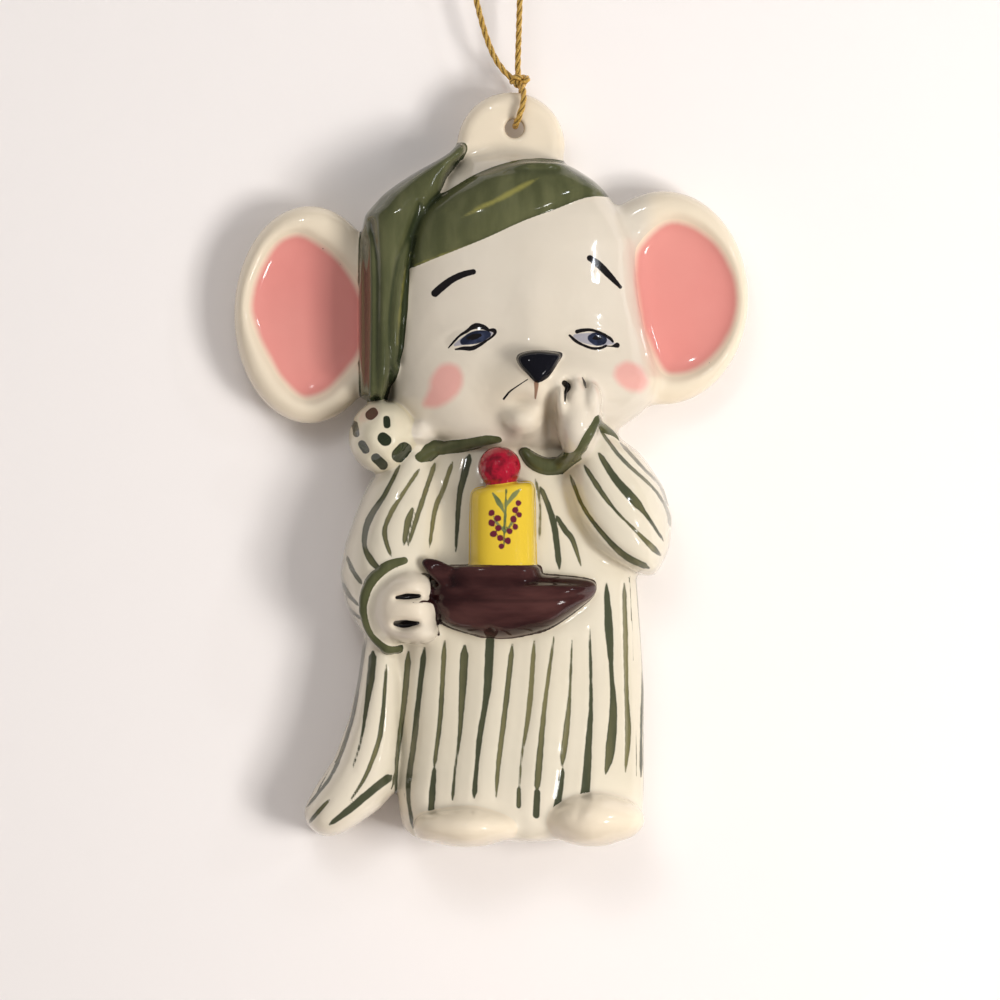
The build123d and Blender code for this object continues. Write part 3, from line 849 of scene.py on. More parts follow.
torso_stripes = (
    (0.65, ((400, 465, 4), (385, 494, 5), (368.5, 520.6, 7), (364.5, 545, 5), (371, 560, 7),
            (379, 569, 5))),
    (0.45, ((419.4, 469, 4), (402, 495, 4), (389, 517, 5), (384.6, 535, 5), (391.3, 557, 3.5))),
    (0.45, ((435, 463, 5), (426, 490, 5), (417, 517, 5), (408, 546, 3.5))),
    (0.6, ((413, 507, 3), (408, 522, 7), (403.8, 545, 4))),
    (0.35, ((452.5, 462, 4.5), (443, 490, 5), (435, 510, 5), (429.5, 548, 3))),
    (0.85, ((469.5, 455, 8), (463, 480, 7), (459, 500, 5.5), (455.7, 552, 3))),
    (0.5, ((346.7, 556, 3), (353, 571, 4.5), (362, 584, 4))),
    (0.5, ((342.5, 582, 3), (349, 595, 4), (359, 606, 3))),
    (0.45, ((349, 608, 2.5), (356, 615, 3), (364, 620, 2.5))),
    (0.35, ((535.5, 479, 3.5), (540, 505, 2.5), (539.5, 540, 2.5))),
    (0.8, ((540.6, 487, 4.5), (549, 508, 6), (555, 530, 6.5), (559.5, 569, 6))),
    (0.5, ((556.3, 515.7, 4), (565, 530, 6), (573, 541, 5.5), (581, 566, 2.5))),
)
fan_stripes = (
    (0.5, ((570, 475, 4), (584, 508.5, 4), (606, 537.6, 5), (625.4, 556, 7), (649, 568, 6))),
    (0.4, ((584, 465, 4), (601, 491.5, 5.5), (616, 511, 3), (633, 528, 3), (660, 555, 7))),
    (0.8, ((598.7, 453, 5), (615.7, 479.4, 8), (635, 501, 9), (647, 516, 4), (663.5, 541, 3))),
    (0.5, ((598.7, 428.5, 3), (623, 460, 4), (652, 486.7, 3), (666.6, 508.5, 3), (670.2, 526, 4))),
    (0.65, ((620.5, 443, 3.5), (644.8, 469.7, 3), (659.3, 484.2, 2.5), (669, 506, 3))),
)
pom_pom_spots = brushed(
    ((370.5, 415, 11), (373, 412.5, 11)),
    ((354.5, 424, 7), (356.5, 434, 7.5)),
    ((386.6, 419, 7.5), (387, 425, 8)),
    ((383, 438, 12.5), (385.5, 440, 13)),
    ((362, 444, 8.5), (365.5, 450, 8.5)),
    ((399, 455, 16), (404, 450, 16.5)),
    ((376, 458, 10.5), (383, 465, 10.5)),
    shade=0.9,
)
finger_slits = brushed(
    ((397, 597.5, 4), (407, 596.5, 6.5), (419, 596, 4.5)),
    ((396, 623.5, 6), (405, 624, 8.5), (418, 623, 3.5)),
)
raised_finger_slits = brushed(
    ((564.5, 383, 6), (568, 387, 6.5), (565.5, 393, 3.5), (565, 401, 2)),
    ((582.4, 377.6, 1.5), (584.5, 383, 3), (585.7, 387.5, 2)),
)
tail_grooves = brushed(
    ((420, 204, 5), (410, 232, 6), (398, 264, 6), (392, 301, 5), (390, 330, 5), (391.5, 368, 5),
     (389, 397, 5)),
    ((372, 222, 4), (377, 263, 4), (377, 328, 4), (375.5, 397, 4)),
    ((413, 240, 3.5), (409, 262, 4), (404, 290, 4), (402, 330, 4), (399, 362, 3)),
    ((365, 240, 3), (366.5, 300, 3), (367, 395, 3)),
)
tail_fold = brushed(((449, 176, 3), (444, 192, 5), (428, 206, 6), (418, 226, 6), (413, 262, 5)))
dish_groove = brushed(((428, 598, 3), (500, 600, 4), (560, 599, 4), (594, 590, 3)))
brows = brushed(
    ((435, 293.2, 8.2), (442, 287, 8.2), (453, 279, 7.4), (464, 274.2, 6.8), (473.3, 271.8, 6)),
    ((589.8, 258, 6.4), (599, 264.8, 7.6), (609, 275, 7), (620.3, 287, 4)),
)
eye_lines = brushed(
    ((448.5, 347.8, 1.8), (454, 341.5, 2.8), (460, 335.5, 3), (468, 330.5, 4)),
    ((468, 330, 3.6), (475.5, 326, 6.4), (484, 327.4, 5.4), (489, 330.5, 3)),
    ((488, 330, 2.4), (494, 330.6, 5), (494.5, 334, 3.4), (490, 338.4, 2.6), (484, 342, 2.6)),
    ((455.5, 349.3, 2.2), (464, 348.3, 4.4), (471.5, 348.4, 5), (479, 345.4, 4), (486, 341, 3)),
    ((467.5, 338.2, 3.5), (474, 336.8, 6.5), (480, 335.2, 4)),
    ((577, 331.6, 4.6), (583, 330.2, 4.2), (591, 330, 3.6), (598, 331.8, 3.2), (605, 335, 3.4)),
    ((605, 335.2, 3.2), (610.5, 338.8, 3.6), (612.8, 341.6, 2.8)),
    ((569.6, 335.4, 2.8), (575.8, 341, 3.8), (583, 345, 3.2), (592, 348.2, 3.4), (600, 348.2, 3.4),
     (606, 345.8, 3)),
    ((606, 346, 1.8), (612, 346.2, 2.2), (617, 345.2, 6)),
    ((593.5, 338.4, 2.6), (597, 337.4, 5.6), (601, 337.8, 3)),
)
mouth_line = brushed(((527.7, 379.3, 1.4), (516, 387, 1.8), (509.4, 391.9, 2.4),
                     (503.8, 398.8, 2.8)))
nose_line = brushed(((536.3, 382, 6), (536.2, 389, 4.6), (535.2, 398.5, 3)))
specks = dotted(
    (423, 349, 2), (323, 249, 2.4), (340.6, 263.7, 2.2), (709.5, 363, 2), (728, 318, 1.8),
    (302, 362, 1.4),
)
cheeks = brushed(
    ((448, 378, 38), (446, 384, 40), (441, 392, 33), (434, 399, 25), (426, 404, 15)),
    ((627, 374, 33), (632, 377, 36), (638, 381, 30)),
)
irises = (
    (0.9, ((463.5, 341.5, 8), (471, 338.5, 13), (479, 336.5, 13.5), (487, 334.5, 9))),
    (0.75, ((591, 338, 8), (597, 338.8, 14.5), (602, 340, 11))),
)
eye_whites = brushed(
    ((455, 345, 4), (464, 341, 9), (480, 336.5, 13), (491, 333.5, 5)),
    ((575, 336, 5), (584, 338, 11), (598, 339.5, 14), (609, 342, 7), (614, 343.5, 3)),
)
# Lighter ochre strokes on the cap: a painted highlight along the band, an ochre edge low on the
# band, and a painted reflection down the tail's fold
cap_highlights_and_ochre = brushed(
    ((461, 218, 4), (480, 208, 7), (499, 199, 8), (520, 187.5, 8), (539, 178, 4)),
    ((415, 265.5, 4), (440, 256, 5.5), (477, 242.5, 4)),
    ((411, 252, 2.5), (405, 272, 4.5), (400, 310, 4.5), (397, 345, 3)),
)
candle_leaves = (
    (0.6, ((504, 546, 2.4), (504.5, 528, 3.4), (505.5, 508, 3.6), (506.5, 489, 3))),
    (0.4, ((505, 514, 3), (498, 501, 6), (492.5, 493, 3))),
    (0.4, ((505.5, 507, 3), (513, 496, 6), (520.5, 489, 3))),
    (0.3, ((504.5, 531, 3), (497.5, 524, 4), (493, 516, 2.4))),
    (0.3, ((504.5, 533, 3), (512, 523, 4), (517, 512, 2.4))),
)
candle_berries = dotted(
    (491.5, 513, 7.5), (497.5, 518, 8), (491.5, 523, 8), (498.5, 528, 7.5), (493.5, 534, 8),
    (500.5, 538, 8), (518.5, 503, 7), (515, 510, 7.5), (519, 515, 7), (513.5, 519, 8),
    (515.5, 527, 7.5), (509.5, 531, 7.5), (507.5, 541, 8), (501.5, 546, 7),
)


def bump_at(column, row, middle_column, middle_row, half_width, half_height, height):
    """A soft rise round a place."""
    aside, down = (column - middle_column) / half_width, (row - middle_row) / half_height
    return height * np.exp(-(aside ** 2 + down ** 2))


def ring_at(column, row, middle_column, middle_row, half_width, half_height, height, thin):
    """A soft ridge along an oval."""
    out = np.hypot((column - middle_column) / half_width, (row - middle_row) / half_height)
    return height * np.exp(-((out - 1) / thin) ** 2)


# Soft rises of the face, and dents below 0: middle, half width, half height and height
nose_bridge = (533, 318, 20, 62, 0.45)
right_cheek = (445, 392, 34, 26, 0.35)
left_cheek = (632, 384, 26, 24, 0.3)
open_mouth = (523, 402, 15, 9, -0.6)
beside_hand = (549, 414, 6.5, 25, -1.0)
eye_tilt = 0.17
groove_reach = 14.0
drape_height = 0.13


def face_relief(column, row):
    """Lids, bridge of the nose, cheeks and the dent of the yawning mouth."""
    height = sum(bump_at(column, row, *bump) for bump in (nose_bridge, right_cheek, left_cheek))
    for middle, drop, side in ((471, 338, -1), (594, 339.5, 1)):
        level = row - side * eye_tilt * (column - middle)
        height = height - bump_at(column, level, middle, drop - 4, 42, 27, 0.55)
        height = height + bump_at(column, level, middle, drop - 3, 27, 17, 0.55)
        height = height - ring_at(column, level, middle, drop, 26, 10.5, 0.14, 0.2)
    return height + sum(bump_at(column, row, *dent) for dent in (open_mouth, beside_hand))


def groove(strokes, depth, soft):
    """A relief that sinks the strokes into the clay."""
    def height(column, row):
        inside, _ = inside_strokes(column, row, strokes, groove_reach)
        return -depth * ramp(inside, -soft, soft)
    return height


def drape(column, row):
    """Shallow upright folds of the nightshirt's skirt."""
    fade = ramp(row, 560, 700)
    wander = 7 * np.sin(row / 61.0)
    narrow = np.sin((column + wander + 0.06 * (row - 640)) / 9.4)
    broad = np.sin((column - wander) / 21.0 + 1.0)
    return drape_height * fade * (narrow + 0.6 * broad)


def carve(clay):
    """Everything that is cut or raised in the front of the members."""
    clay.relief((395, 660), (225, 452), face_relief, near=-3.0, full=-6.0)
    clay.relief((355, 432), (195, 402), groove(tail_grooves, 0.75, 0.4))
    clay.relief((405, 455), (170, 275), groove(tail_fold, 0.35, 0.5))
    clay.relief((385, 430), (585, 635), groove(finger_slits, 0.8, 0.3))
    raised_slits = groove(raised_finger_slits, 0.6, 0.3)
    clay.relief((555, 595), (370, 410), raised_slits, near=-8.0, full=-10.0)
    clay.relief((300, 660), (580, 845), groove(skirt_stripes, 0.16, 0.3))
    clay.relief((385, 648), (590, 842), drape)
    clay.relief((335, 600), (440, 625), groove(torso_stripes, 0.14, 0.3))
    clay.relief((555, 680), (415, 580), groove(fan_stripes, 0.16, 0.3))
    clay.relief((345, 420), (400, 475), groove(pom_pom_spots, 0.22, 0.3))
    clay.relief((425, 600), (590, 606), groove(dish_groove, 0.45, 0.4), near=-8.0, full=-9.5)


# Meshes and their paint, in millimetres: how far round the sides the brushes reach, where the
# plain back begins, and how far a stripe spreads in the firing
paint_edge = -0.8
back_paint = 3.2
stripe_spread = 0.07

# Painted light, in pixels: where the glaze is painted lighter for the light that falls there, from
# none to all. The head's are outside the ears' inner edges and up the lug, and the body's are
# along the train and down the feet. The muzzle and the right hand are partly so, round a middle,
# with a half width and half height
lit_middle = 513
neck_row = 430
lit_from_middle = (124, 150)
lit_up_lug = (172, 140)
lit_train_columns = (410, 340)
lit_train_rows = (620, 700)
lit_down_feet = (770, 810)
lit_places = ((522, 395, 62, 42), (405, 605, 32, 40))
lit_part = 0.75

# The stripes down the nightshirt's sides: depths, half width, and how much they swell and wander
side_depths = (-3.4, -1.0, 1.5)
side_half = 0.28
side_swell = 0.08
side_wander = 0.15
side_rows = (470, 800)
side_facing = 0.8
side_shade = 0.5


def colour(code):
    """Linear colour from an sRGB hex code."""
    parts = [int(code[i:i + 2], 16) / 255 for i in (1, 3, 5)]
    linear = [p / 12.92 if p <= 0.04045 else ((p + 0.055) / 1.055) ** 2.4 for p in parts]
    return (*linear, 1.0)


def painted_light_amount(column, row):
    """Painted light, lighter where more light falls: ears, lug, train and feet, and part of mouth
    and hand.
    """
    ears = ramp(np.abs(column - lit_middle), *lit_from_middle)
    head = np.maximum(ears, ramp(row, *lit_up_lug))
    train = ramp(column, *lit_train_columns) * ramp(row, *lit_train_rows)
    pale = np.maximum(np.where(row < neck_row, head, train), ramp(row, *lit_down_feet))
    for place in lit_places:
        pale = np.maximum(pale, bump_at(column, row, *place, lit_part))
    return pale


def side_stripes(depth, row, slope):
    """Millimetres inside the stripes down the sides of the nightshirt, which waver."""
    stripes = []
    for number, place in enumerate(side_depths):
        half = side_half + side_swell * np.sin(row / 23.0 + number)
        wander = side_wander * np.sin(row / 37.0 + number)
        stripes.append(half - np.abs(depth - place - wander))
    on_side = (np.abs(slope[:, 0]) > side_facing) & (row > side_rows[0]) & (row < side_rows[1])
    return np.where(on_side, np.maximum.reduce(stripes), -1)


def paint_layers(points, slope):
    """How many millimetres inside each painted layer every point lies, negative outside."""
    column, row = seen(points)
    depth = points[:, 1]
    layers = {"lit": painted_light_amount(column, row)}

    def lay(name, strokes, spread=0.0, reach=9.0, tip=1.0):
        inside, shade = inside_strokes(column, row, strokes, reach, tip)
        layers[name] = np.where(depth < paint_edge, np.maximum(inside + spread, -1), -1)
        layers[name + "_shade"] = shade

    lay("stripe", skirt_stripes + torso_stripes + fan_stripes, stripe_spread, tip=0.35)
    lay("spot", pom_pom_spots)
    lay("ink", brows + eye_lines + mouth_line + finger_slits + raised_finger_slits + specks)
    lay("brown", nose_line)
    lay("cheek", cheeks, reach=26.0)
    lay("iris", irises)
    lay("eye", eye_whites)
    lay("highlight_and_ochre", cap_highlights_and_ochre)
    lay("leaf", candle_leaves)
    lay("berry", candle_berries)
    pools = np.maximum(inside_outline(column, row, right_pool_outline),
                       inside_outline(column, row, left_pool_outline))
    layers["pool"] = np.where((slope[:, 1] < 0.3) & (depth < ear_middle), pools, -1)
    side = side_stripes(depth, row, slope)
    better = side > layers["stripe"]
    layers["stripe"] = np.where(better, side, layers["stripe"])
    layers["stripe_shade"] = np.where(better, side_shade, layers["stripe_shade"])
    return layers


# Left, right, top and bottom, in pixels, of the places where thin lines are drawn, and how far
# forward they are, in millimetres
fine_windows = (
    (440, 500, 320, 354), (564, 625, 324, 352), (430, 478, 267, 298), (586, 624, 253, 292),
    (499, 531, 375, 402), (559, 590, 374, 404), (393, 423, 590, 630),
)
fine_front = -5.0
fine_cuts = 3
fine_least = 20


def refined(points, quads):
    """Finer faces where the face's thin lines are drawn."""
    column, row = column_of(points[:, 0]), row_of(points[:, 2])
    inside = np.zeros(len(points), bool)
    for left, right, top, bottom in fine_windows:
        inside |= (column > left) & (column < right) & (row > top) & (row < bottom)
    inside &= points[:, 1] < fine_front
    if inside.sum() < fine_least:
        return points, quads.tolist()
    mesh = bpy.data.meshes.new("fine")
    mesh.from_pydata(points.tolist(), [], quads.tolist())
    work = bmesh.new()
    work.from_mesh(mesh)
    work.verts.ensure_lookup_table()
    edges = [e for e in work.edges if inside[e.verts[0].index] and inside[e.verts[1].index]]
    bmesh.ops.subdivide_edges(work, edges=edges, cuts=fine_cuts, use_grid_fill=True)
    work.to_mesh(mesh)
    work.free()
    points = np.empty(len(mesh.vertices) * 3)
    mesh.vertices.foreach_get("co", points)
    faces = [tuple(face.vertices) for face in mesh.polygons]
    bpy.data.meshes.remove(mesh)
    return points.reshape(-1, 3), faces


def build_mesh(name, points, faces):
    """A smooth mesh in metres in the frame, from millimetres round the hole."""
    mesh = bpy.data.meshes.new(name)
    mesh.from_pydata((np.asarray(points) * mm + np.array(hole)).tolist(), [], faces)
    mesh.shade_smooth()
    thing = bpy.data.objects.new(name, mesh)
    bpy.context.scene.collection.objects.link(thing)
    return thing


def store(mesh, name, values):
    """Keeps one value a point, for the glazes."""
    layer = mesh.attributes.new(name, "FLOAT", "POINT")
    layer.data.foreach_set("value", np.asarray(values, np.float32))


def make_piece(clay, hollow, node, slot):
    """The finished mesh of one node's share of the clay, with its paint."""
    points, quads, sinking = clay.shell(node)
    points, faces = refined(points, quads)
    points = clay.settle(points, *sinking)
    slope = clay.slope(points)
    slope /= np.maximum(np.linalg.norm(slope, axis=1), tiny)[:, None]
    on_skin = np.abs(clay.sample(clay.total, points)) < voxel * skin_reach
    piece = build_mesh("glazed_" + node, points, faces)
    mesh_normals = np.empty(len(points) * 3)
    piece.data.vertex_normals.foreach_get("vector", mesh_normals)
    normals = np.where(on_skin[:, None], slope, mesh_normals.reshape(-1, 3))
    piece.data.normals_split_custom_set_from_vertices(normals.tolist())
    layers = paint_layers(points, normals)
    store(piece.data, "hollow", clay.sample(hollow, points))
    store(piece.data, "back", points[:, 1])
    for name in slot_layers[slot]:
        store(piece.data, name, layers[name])
    own = clay.claim_at(slot_nodes[slot], points)
    for other in sorted(slot_nodes):
        if other != slot:
            beyond = (own - clay.claim_at(slot_nodes[other], points)) / 2
            store(piece.data, "next_to_" + other, np.clip(beyond, -1, 1))
    return piece


# Glazes: the brush's streaks, the plain back, the width in which one glaze gives way to another,
# and the glassy coat, with the height of its waves in metres
brush_grain = 330
brush_contrast = 1.8
back_waver = 2.0
back_cream = "#ddd4c1"
flow_edge = 0.03
glass_index = 1.52
coat_roughness = 0.03
wave_height = 0.0006


class Glaze:
    """A fired glaze: colours laid over one another where their attributes are positive."""

    def __init__(self, name, thin, thick):
        self.material = bpy.data.materials.new(name)
        self.material.use_nodes = True
        self.tree = self.material.node_tree
        self.shader = self.tree.nodes["Principled BSDF"]
        self.place = self.tree.nodes.new("ShaderNodeTexCoord").outputs["Object"]
        self.colour = self.mix(self.noise(70, 3), colour(thin), colour(thick))

    def link(self, a, b):
        self.tree.links.new(a, b)

    def feed(self, *pairs):
        """Sets each socket to its value, or links them."""
        for value, socket in pairs:
            if isinstance(value, (int, float, tuple)):
                socket.default_value = value
            else:
                self.link(value, socket)

    def noise(self, scale, detail, stretch=None):
        node = self.tree.nodes.new("ShaderNodeTexNoise")
        node.inputs["Scale"].default_value = scale
        node.inputs["Detail"].default_value = detail
        source = self.place
        if stretch:
            mapping = self.tree.nodes.new("ShaderNodeMapping")
            mapping.inputs["Scale"].default_value = stretch
            self.link(source, mapping.inputs["Vector"])
            source = mapping.outputs["Vector"]
        self.link(source, node.inputs["Vector"])
        return node.outputs["Fac"]

    def reach(self, value, low, high, to_low=0.0, to_high=1.0):
        """Runs smoothly between two values where another goes from low to high."""
        node = self.tree.nodes.new("ShaderNodeMapRange")
        node.interpolation_type = "SMOOTHSTEP"
        node.inputs["From Min"].default_value = low
        node.inputs["From Max"].default_value = high
        node.inputs["To Min"].default_value = to_low
        node.inputs["To Max"].default_value = to_high
        self.link(value, node.inputs["Value"])
        return node.outputs["Result"]

    def math(self, operation, a, b):
        node = self.tree.nodes.new("ShaderNodeMath")
        node.operation = operation
        self.feed((a, node.inputs[0]), (b, node.inputs[1]))
        return node.outputs[0]

    def mix(self, factor, a, b):
        """A blend of two colours, whose sockets are the seventh and eighth."""
        node = self.tree.nodes.new("ShaderNodeMix")
        node.data_type = "RGBA"
        self.feed((factor, node.inputs[0]), (a, node.inputs[6]), (b, node.inputs[7]))
        return node.outputs[2]

    def attribute(self, name):
        node = self.tree.nodes.new("ShaderNodeAttribute")
        node.attribute_name = name
        return node.outputs["Fac"]

    def waver(self, grain, detail, amount, stretch=None):
        """Noise about 0."""
        noise = self.noise(grain, detail, stretch)
        return self.math("MULTIPLY", self.math("SUBTRACT", noise, 0.5), amount)

    def cover(self, amount, shade):
        """Lays a plain shade over what is there."""
        self.colour = self.mix(amount, self.colour, colour(shade))
        return self

    def pooled_glaze_and_shade(self, shade, low, high, strength):
        """Glaze that pools darker in the hollows of the clay, with painted shade there too."""
        return self.cover(self.reach(self.attribute("hollow"), low, high, 0, strength), shade)

    def mottle(self, shade, grain, detail, low, high, strength, stretch=None):
        """Patches or streaks of another shade."""
        patches = self.noise(grain, detail, stretch)
        return self.cover(self.reach(patches, low, high, 0, strength), shade)

    def lay(self, layer, light, dark=None, edge=0.07, wobble=0.12, strength=1.0, grain=900,
            streak=None, rim=0.0):
        """Paints one layer, with a wavering edge. A second, dark tone follows the strokes' shade
        and the brush's streaks, and rim adds to it along the strokes' edges."""
        depth = self.math("ADD", self.attribute(layer), self.waver(grain, 2, wobble))
        laid = self.reach(depth, 0.0, edge, 0.0, strength)
        tint = colour(light)
        if dark:
            brush = self.waver(brush_grain, 3, brush_contrast, streak)
            tone = self.math("ADD", self.attribute(layer + "_shade"), brush)
            if rim:
                tone = self.math("ADD", tone, self.reach(depth, 0.05, 0.3, rim, 0.0))
            tint = self.mix(self.reach(tone, 0.1, 0.95), tint, colour(dark))
        self.colour = self.mix(laid, self.colour, tint)

    def meet(self, own_slot):
        """The neighbours' glazes, where they flow over the piece's edge, and the plain back."""
        for slot, tint in flat_colours.items():
            if slot != own_slot:
                self.cover(self.reach(self.attribute("next_to_" + slot), 0.0, flow_edge), tint)
        depth = self.math("ADD", self.attribute("back"), self.waver(160, 2, back_waver))
        return self.cover(self.reach(depth, back_paint - 0.1, back_paint + 0.1), back_cream)

    def paint_lit_parts(self, tint):
        """Painted light: a lighter shade over the parts where more light falls."""
        return self.cover(self.attribute("lit"), tint)

    def finish(self, roughness=(0.05, 0.16), waves=0.12, coat=0.35, bump_scale=260, gloss=0.5):
        """A glassy coat over faint waves, and the finished material."""
        self.shader.inputs["Specular IOR Level"].default_value = gloss
        self.link(self.colour, self.shader.inputs["Base Color"])
        dullness = self.reach(self.noise(190, 4), 0.3, 0.7, *roughness)
        self.link(dullness, self.shader.inputs["Roughness"])
        self.shader.inputs["Coat Weight"].default_value = coat
        self.shader.inputs["Coat Roughness"].default_value = coat_roughness
        self.shader.inputs["IOR"].default_value = glass_index
        bump = self.tree.nodes.new("ShaderNodeBump")
        bump.inputs["Strength"].default_value = waves
        bump.inputs["Distance"].default_value = wave_height
        self.link(self.noise(bump_scale, 2), bump.inputs["Height"])
        self.link(bump.outputs["Normal"], self.shader.inputs["Normal"])
        self.link(bump.outputs["Normal"], self.shader.inputs["Coat Normal"])
        return self.material


# One flat colour for each glaze, where it flows over a neighbour's edge
flat_colours = {
    "glazed_cream": "#d6ccb8", "glazed_white": "#d4cbbc", "glazed_pink": "#eadcc6",
    "glazed_spotted": "#d2c9b3", "glazed_olive": "#47492f", "glazed_yellow": "#e2bf30",
    "glazed_maroon": "#331a19", "glazed_crimson": "#a01229", "glazed_black": "#100f12",
}


# In each glaze below, the hollows colour is glaze pooled in the clay's hollows and painted shade
# there too
def white_glaze():
    # e6d8c1 is painted light, laid where more light falls on the ears, lug, mouth and hand
    glaze = Glaze("white_glaze", "#d9d1c4", "#cfc4b2").paint_lit_parts("#e6d8c1")
    glaze.pooled_glaze_and_shade("#b8ab94", 0.02, 0.30, 0.55)
    glaze.lay("pool", "#e0958c", edge=1.0, wobble=0.45, strength=0.95, grain=300)
    glaze.lay("cheek", "#de9a92", edge=1.1, wobble=0.5, strength=0.8, grain=420)
    glaze.lay("eye", "#96949e", edge=0.15, wobble=0.05, strength=0.9)
    glaze.lay("iris", "#5f6a8c", "#171c2e", edge=0.12, wobble=0.12, grain=2500)
    glaze.lay("brown", "#7a4a2c", edge=0.12, wobble=0.08, strength=0.85)
    glaze.lay("ink", "#120d0c", edge=0.06, wobble=0.07, grain=2200)
    return glaze.meet("glazed_white").finish(waves=0.3)


def cream_glaze():
    # e1d7c4 is painted light, laid where more light falls on the train and feet
    glaze = Glaze("cream_glaze", "#dcd4c2", "#d2c8b2").paint_lit_parts("#e1d7c4")
    glaze.pooled_glaze_and_shade("#b9ad94", 0.02, 0.30, 0.45)
    glaze.lay("stripe", "#706b45", "#333a22", edge=0.15, wobble=0.16, strength=0.96,
              streak=(1, 1, 0.22), rim=0.35)
    return glaze.meet("glazed_cream").finish(waves=0.25)


def pink_glaze():
    glaze = Glaze("pink_glaze", "#e39c92", "#db867f")
    glaze.pooled_glaze_and_shade("#cf7873", 0.05, 0.4, 0.6)
    depth = glaze.math("ADD", glaze.attribute("pool"), glaze.waver(300, 2, 0.35))
    glaze.cover(glaze.reach(depth, 0.0, 1.0, 0.95, 0.0), "#ecdcc4")
    glaze.lay("ink", "#2a1c1a", edge=0.06, wobble=0.07, grain=2200)
    return glaze.meet("glazed_pink").finish()


def green_glaze():
    glaze = Glaze("green_glaze", "#565739", "#3a4028")
    glaze.mottle("#666747", 420, 4, 0.35, 0.75, 0.7, stretch=(1, 1, 0.18))
    glaze.pooled_glaze_and_shade("#1d2616", 0.0, 0.25, 0.75)
    # Painted highlight and reflection on the band and tail, with an ochre stroke on the band's edge
    glaze.lay("highlight_and_ochre", "#97914c", edge=0.5, wobble=0.6, strength=0.75, grain=500)
    glaze.meet("glazed_olive")
    return glaze.finish(roughness=(0.05, 0.18), waves=0.35, coat=0.2, gloss=0.4)


def spotted_glaze():
    glaze = Glaze("spotted_glaze", "#dcd4bf", "#d2c8ad")
    glaze.pooled_glaze_and_shade("#b3a583", 0.02, 0.3, 0.7)
    glaze.lay("spot", "#444b30", "#262d1b", edge=0.1, wobble=0.16, rim=0.3)
    return glaze.meet("glazed_spotted").finish(waves=0.2)


def black_glaze():
    glaze = Glaze("black_glaze", "#0c0b0e", "#12121a").meet("glazed_black")
    return glaze.finish(roughness=(0.05, 0.12), waves=0.3, coat=0.1, gloss=0.3)


def yellow_glaze():
    glaze = Glaze("yellow_glaze", "#e2c53d", "#d6b231")
    glaze.pooled_glaze_and_shade("#b98d1c", 0.05, 0.35, 0.8)
    glaze.lay("leaf", "#7f8452", "#4a5a38", edge=0.12, wobble=0.25)
    glaze.lay("berry", "#631f30", edge=0.12, wobble=0.3, grain=1100)
    return glaze.meet("glazed_yellow").finish()


def crimson_glaze():
    glaze = Glaze("crimson_glaze", "#b5152f", "#8f0f26")
    glaze.mottle("#5e0c1a", 900, 4, 0.45, 0.7, 0.8)
    return glaze.meet("glazed_crimson").finish(waves=0.5, bump_scale=700)


def maroon_glaze():
    glaze = Glaze("maroon_glaze", "#3a1d1c", "#241010")
    glaze.mottle("#5c3a36", 260, 4, 0.4, 0.7, 0.7, stretch=(0.25, 1, 1))
    glaze.pooled_glaze_and_shade("#170808", 0.0, 0.25, 0.8)
    glaze.meet("glazed_maroon")
    return glaze.finish(roughness=(0.07, 0.16), waves=0.3, coat=0.1, gloss=0.3)


def gold_thread():
    """Metallic thread, with painted shade between the plies and painted glints here and there."""
    glaze = Glaze("gold_thread", "#e3ba66", "#c99c44")
    # painted shade in the valleys between the plies
    glaze.cover(glaze.reach(glaze.attribute("valley"), 0.25, 0.95, 0, 0.9), "#4d3410")
    # painted glints: small bright patches of paler gold
    glaze.mottle("#f0d48a", 6000, 2, 0.55, 0.75, 0.7)
    glaze.shader.inputs["Metallic"].default_value = 0.4
    glaze.link(glaze.colour, glaze.shader.inputs["Base Color"])
    dullness = glaze.reach(glaze.noise(5000, 2), 0.3, 0.7, 0.22, 0.5)
    glaze.link(dullness, glaze.shader.inputs["Roughness"])
    return glaze.material


# Each slot's nodes, and the painted layers that they show
slot_nodes = {
    "glazed_white": ("head", "muzzle", "chin", "left_hand", "right_hand", "right_ear", "left_ear",
                     "hanging_lug", "cap_crown", "right_foot", "left_foot"),
    "glazed_pink": ("right_ear_lining", "left_ear_lining"),
    "glazed_cream": ("nightshirt", "right_sleeve", "left_sleeve", "shirt_train"),
    "glazed_olive": ("cap_band", "cap_tail", "right_cuff", "right_collar", "left_collar"),
    "glazed_spotted": ("pom_pom",),
    "glazed_black": ("nose",),
    "glazed_yellow": ("candle",),
    "glazed_crimson": ("flame",),
    "glazed_maroon": ("dish", "candle_socket", "dish_handle"),
}
slot_layers = {
    "glazed_white": ("lit", "pool", "cheek", "eye", "iris", "iris_shade", "brown", "ink"),
    "glazed_pink": ("pool", "ink"),
    "glazed_cream": ("lit", "stripe", "stripe_shade"),
    "glazed_olive": ("highlight_and_ochre",),
    "glazed_spotted": ("spot", "spot_shade"),
    "glazed_black": (),
    "glazed_yellow": ("leaf", "leaf_shade", "berry"),
    "glazed_crimson": (),
    "glazed_maroon": (),
}

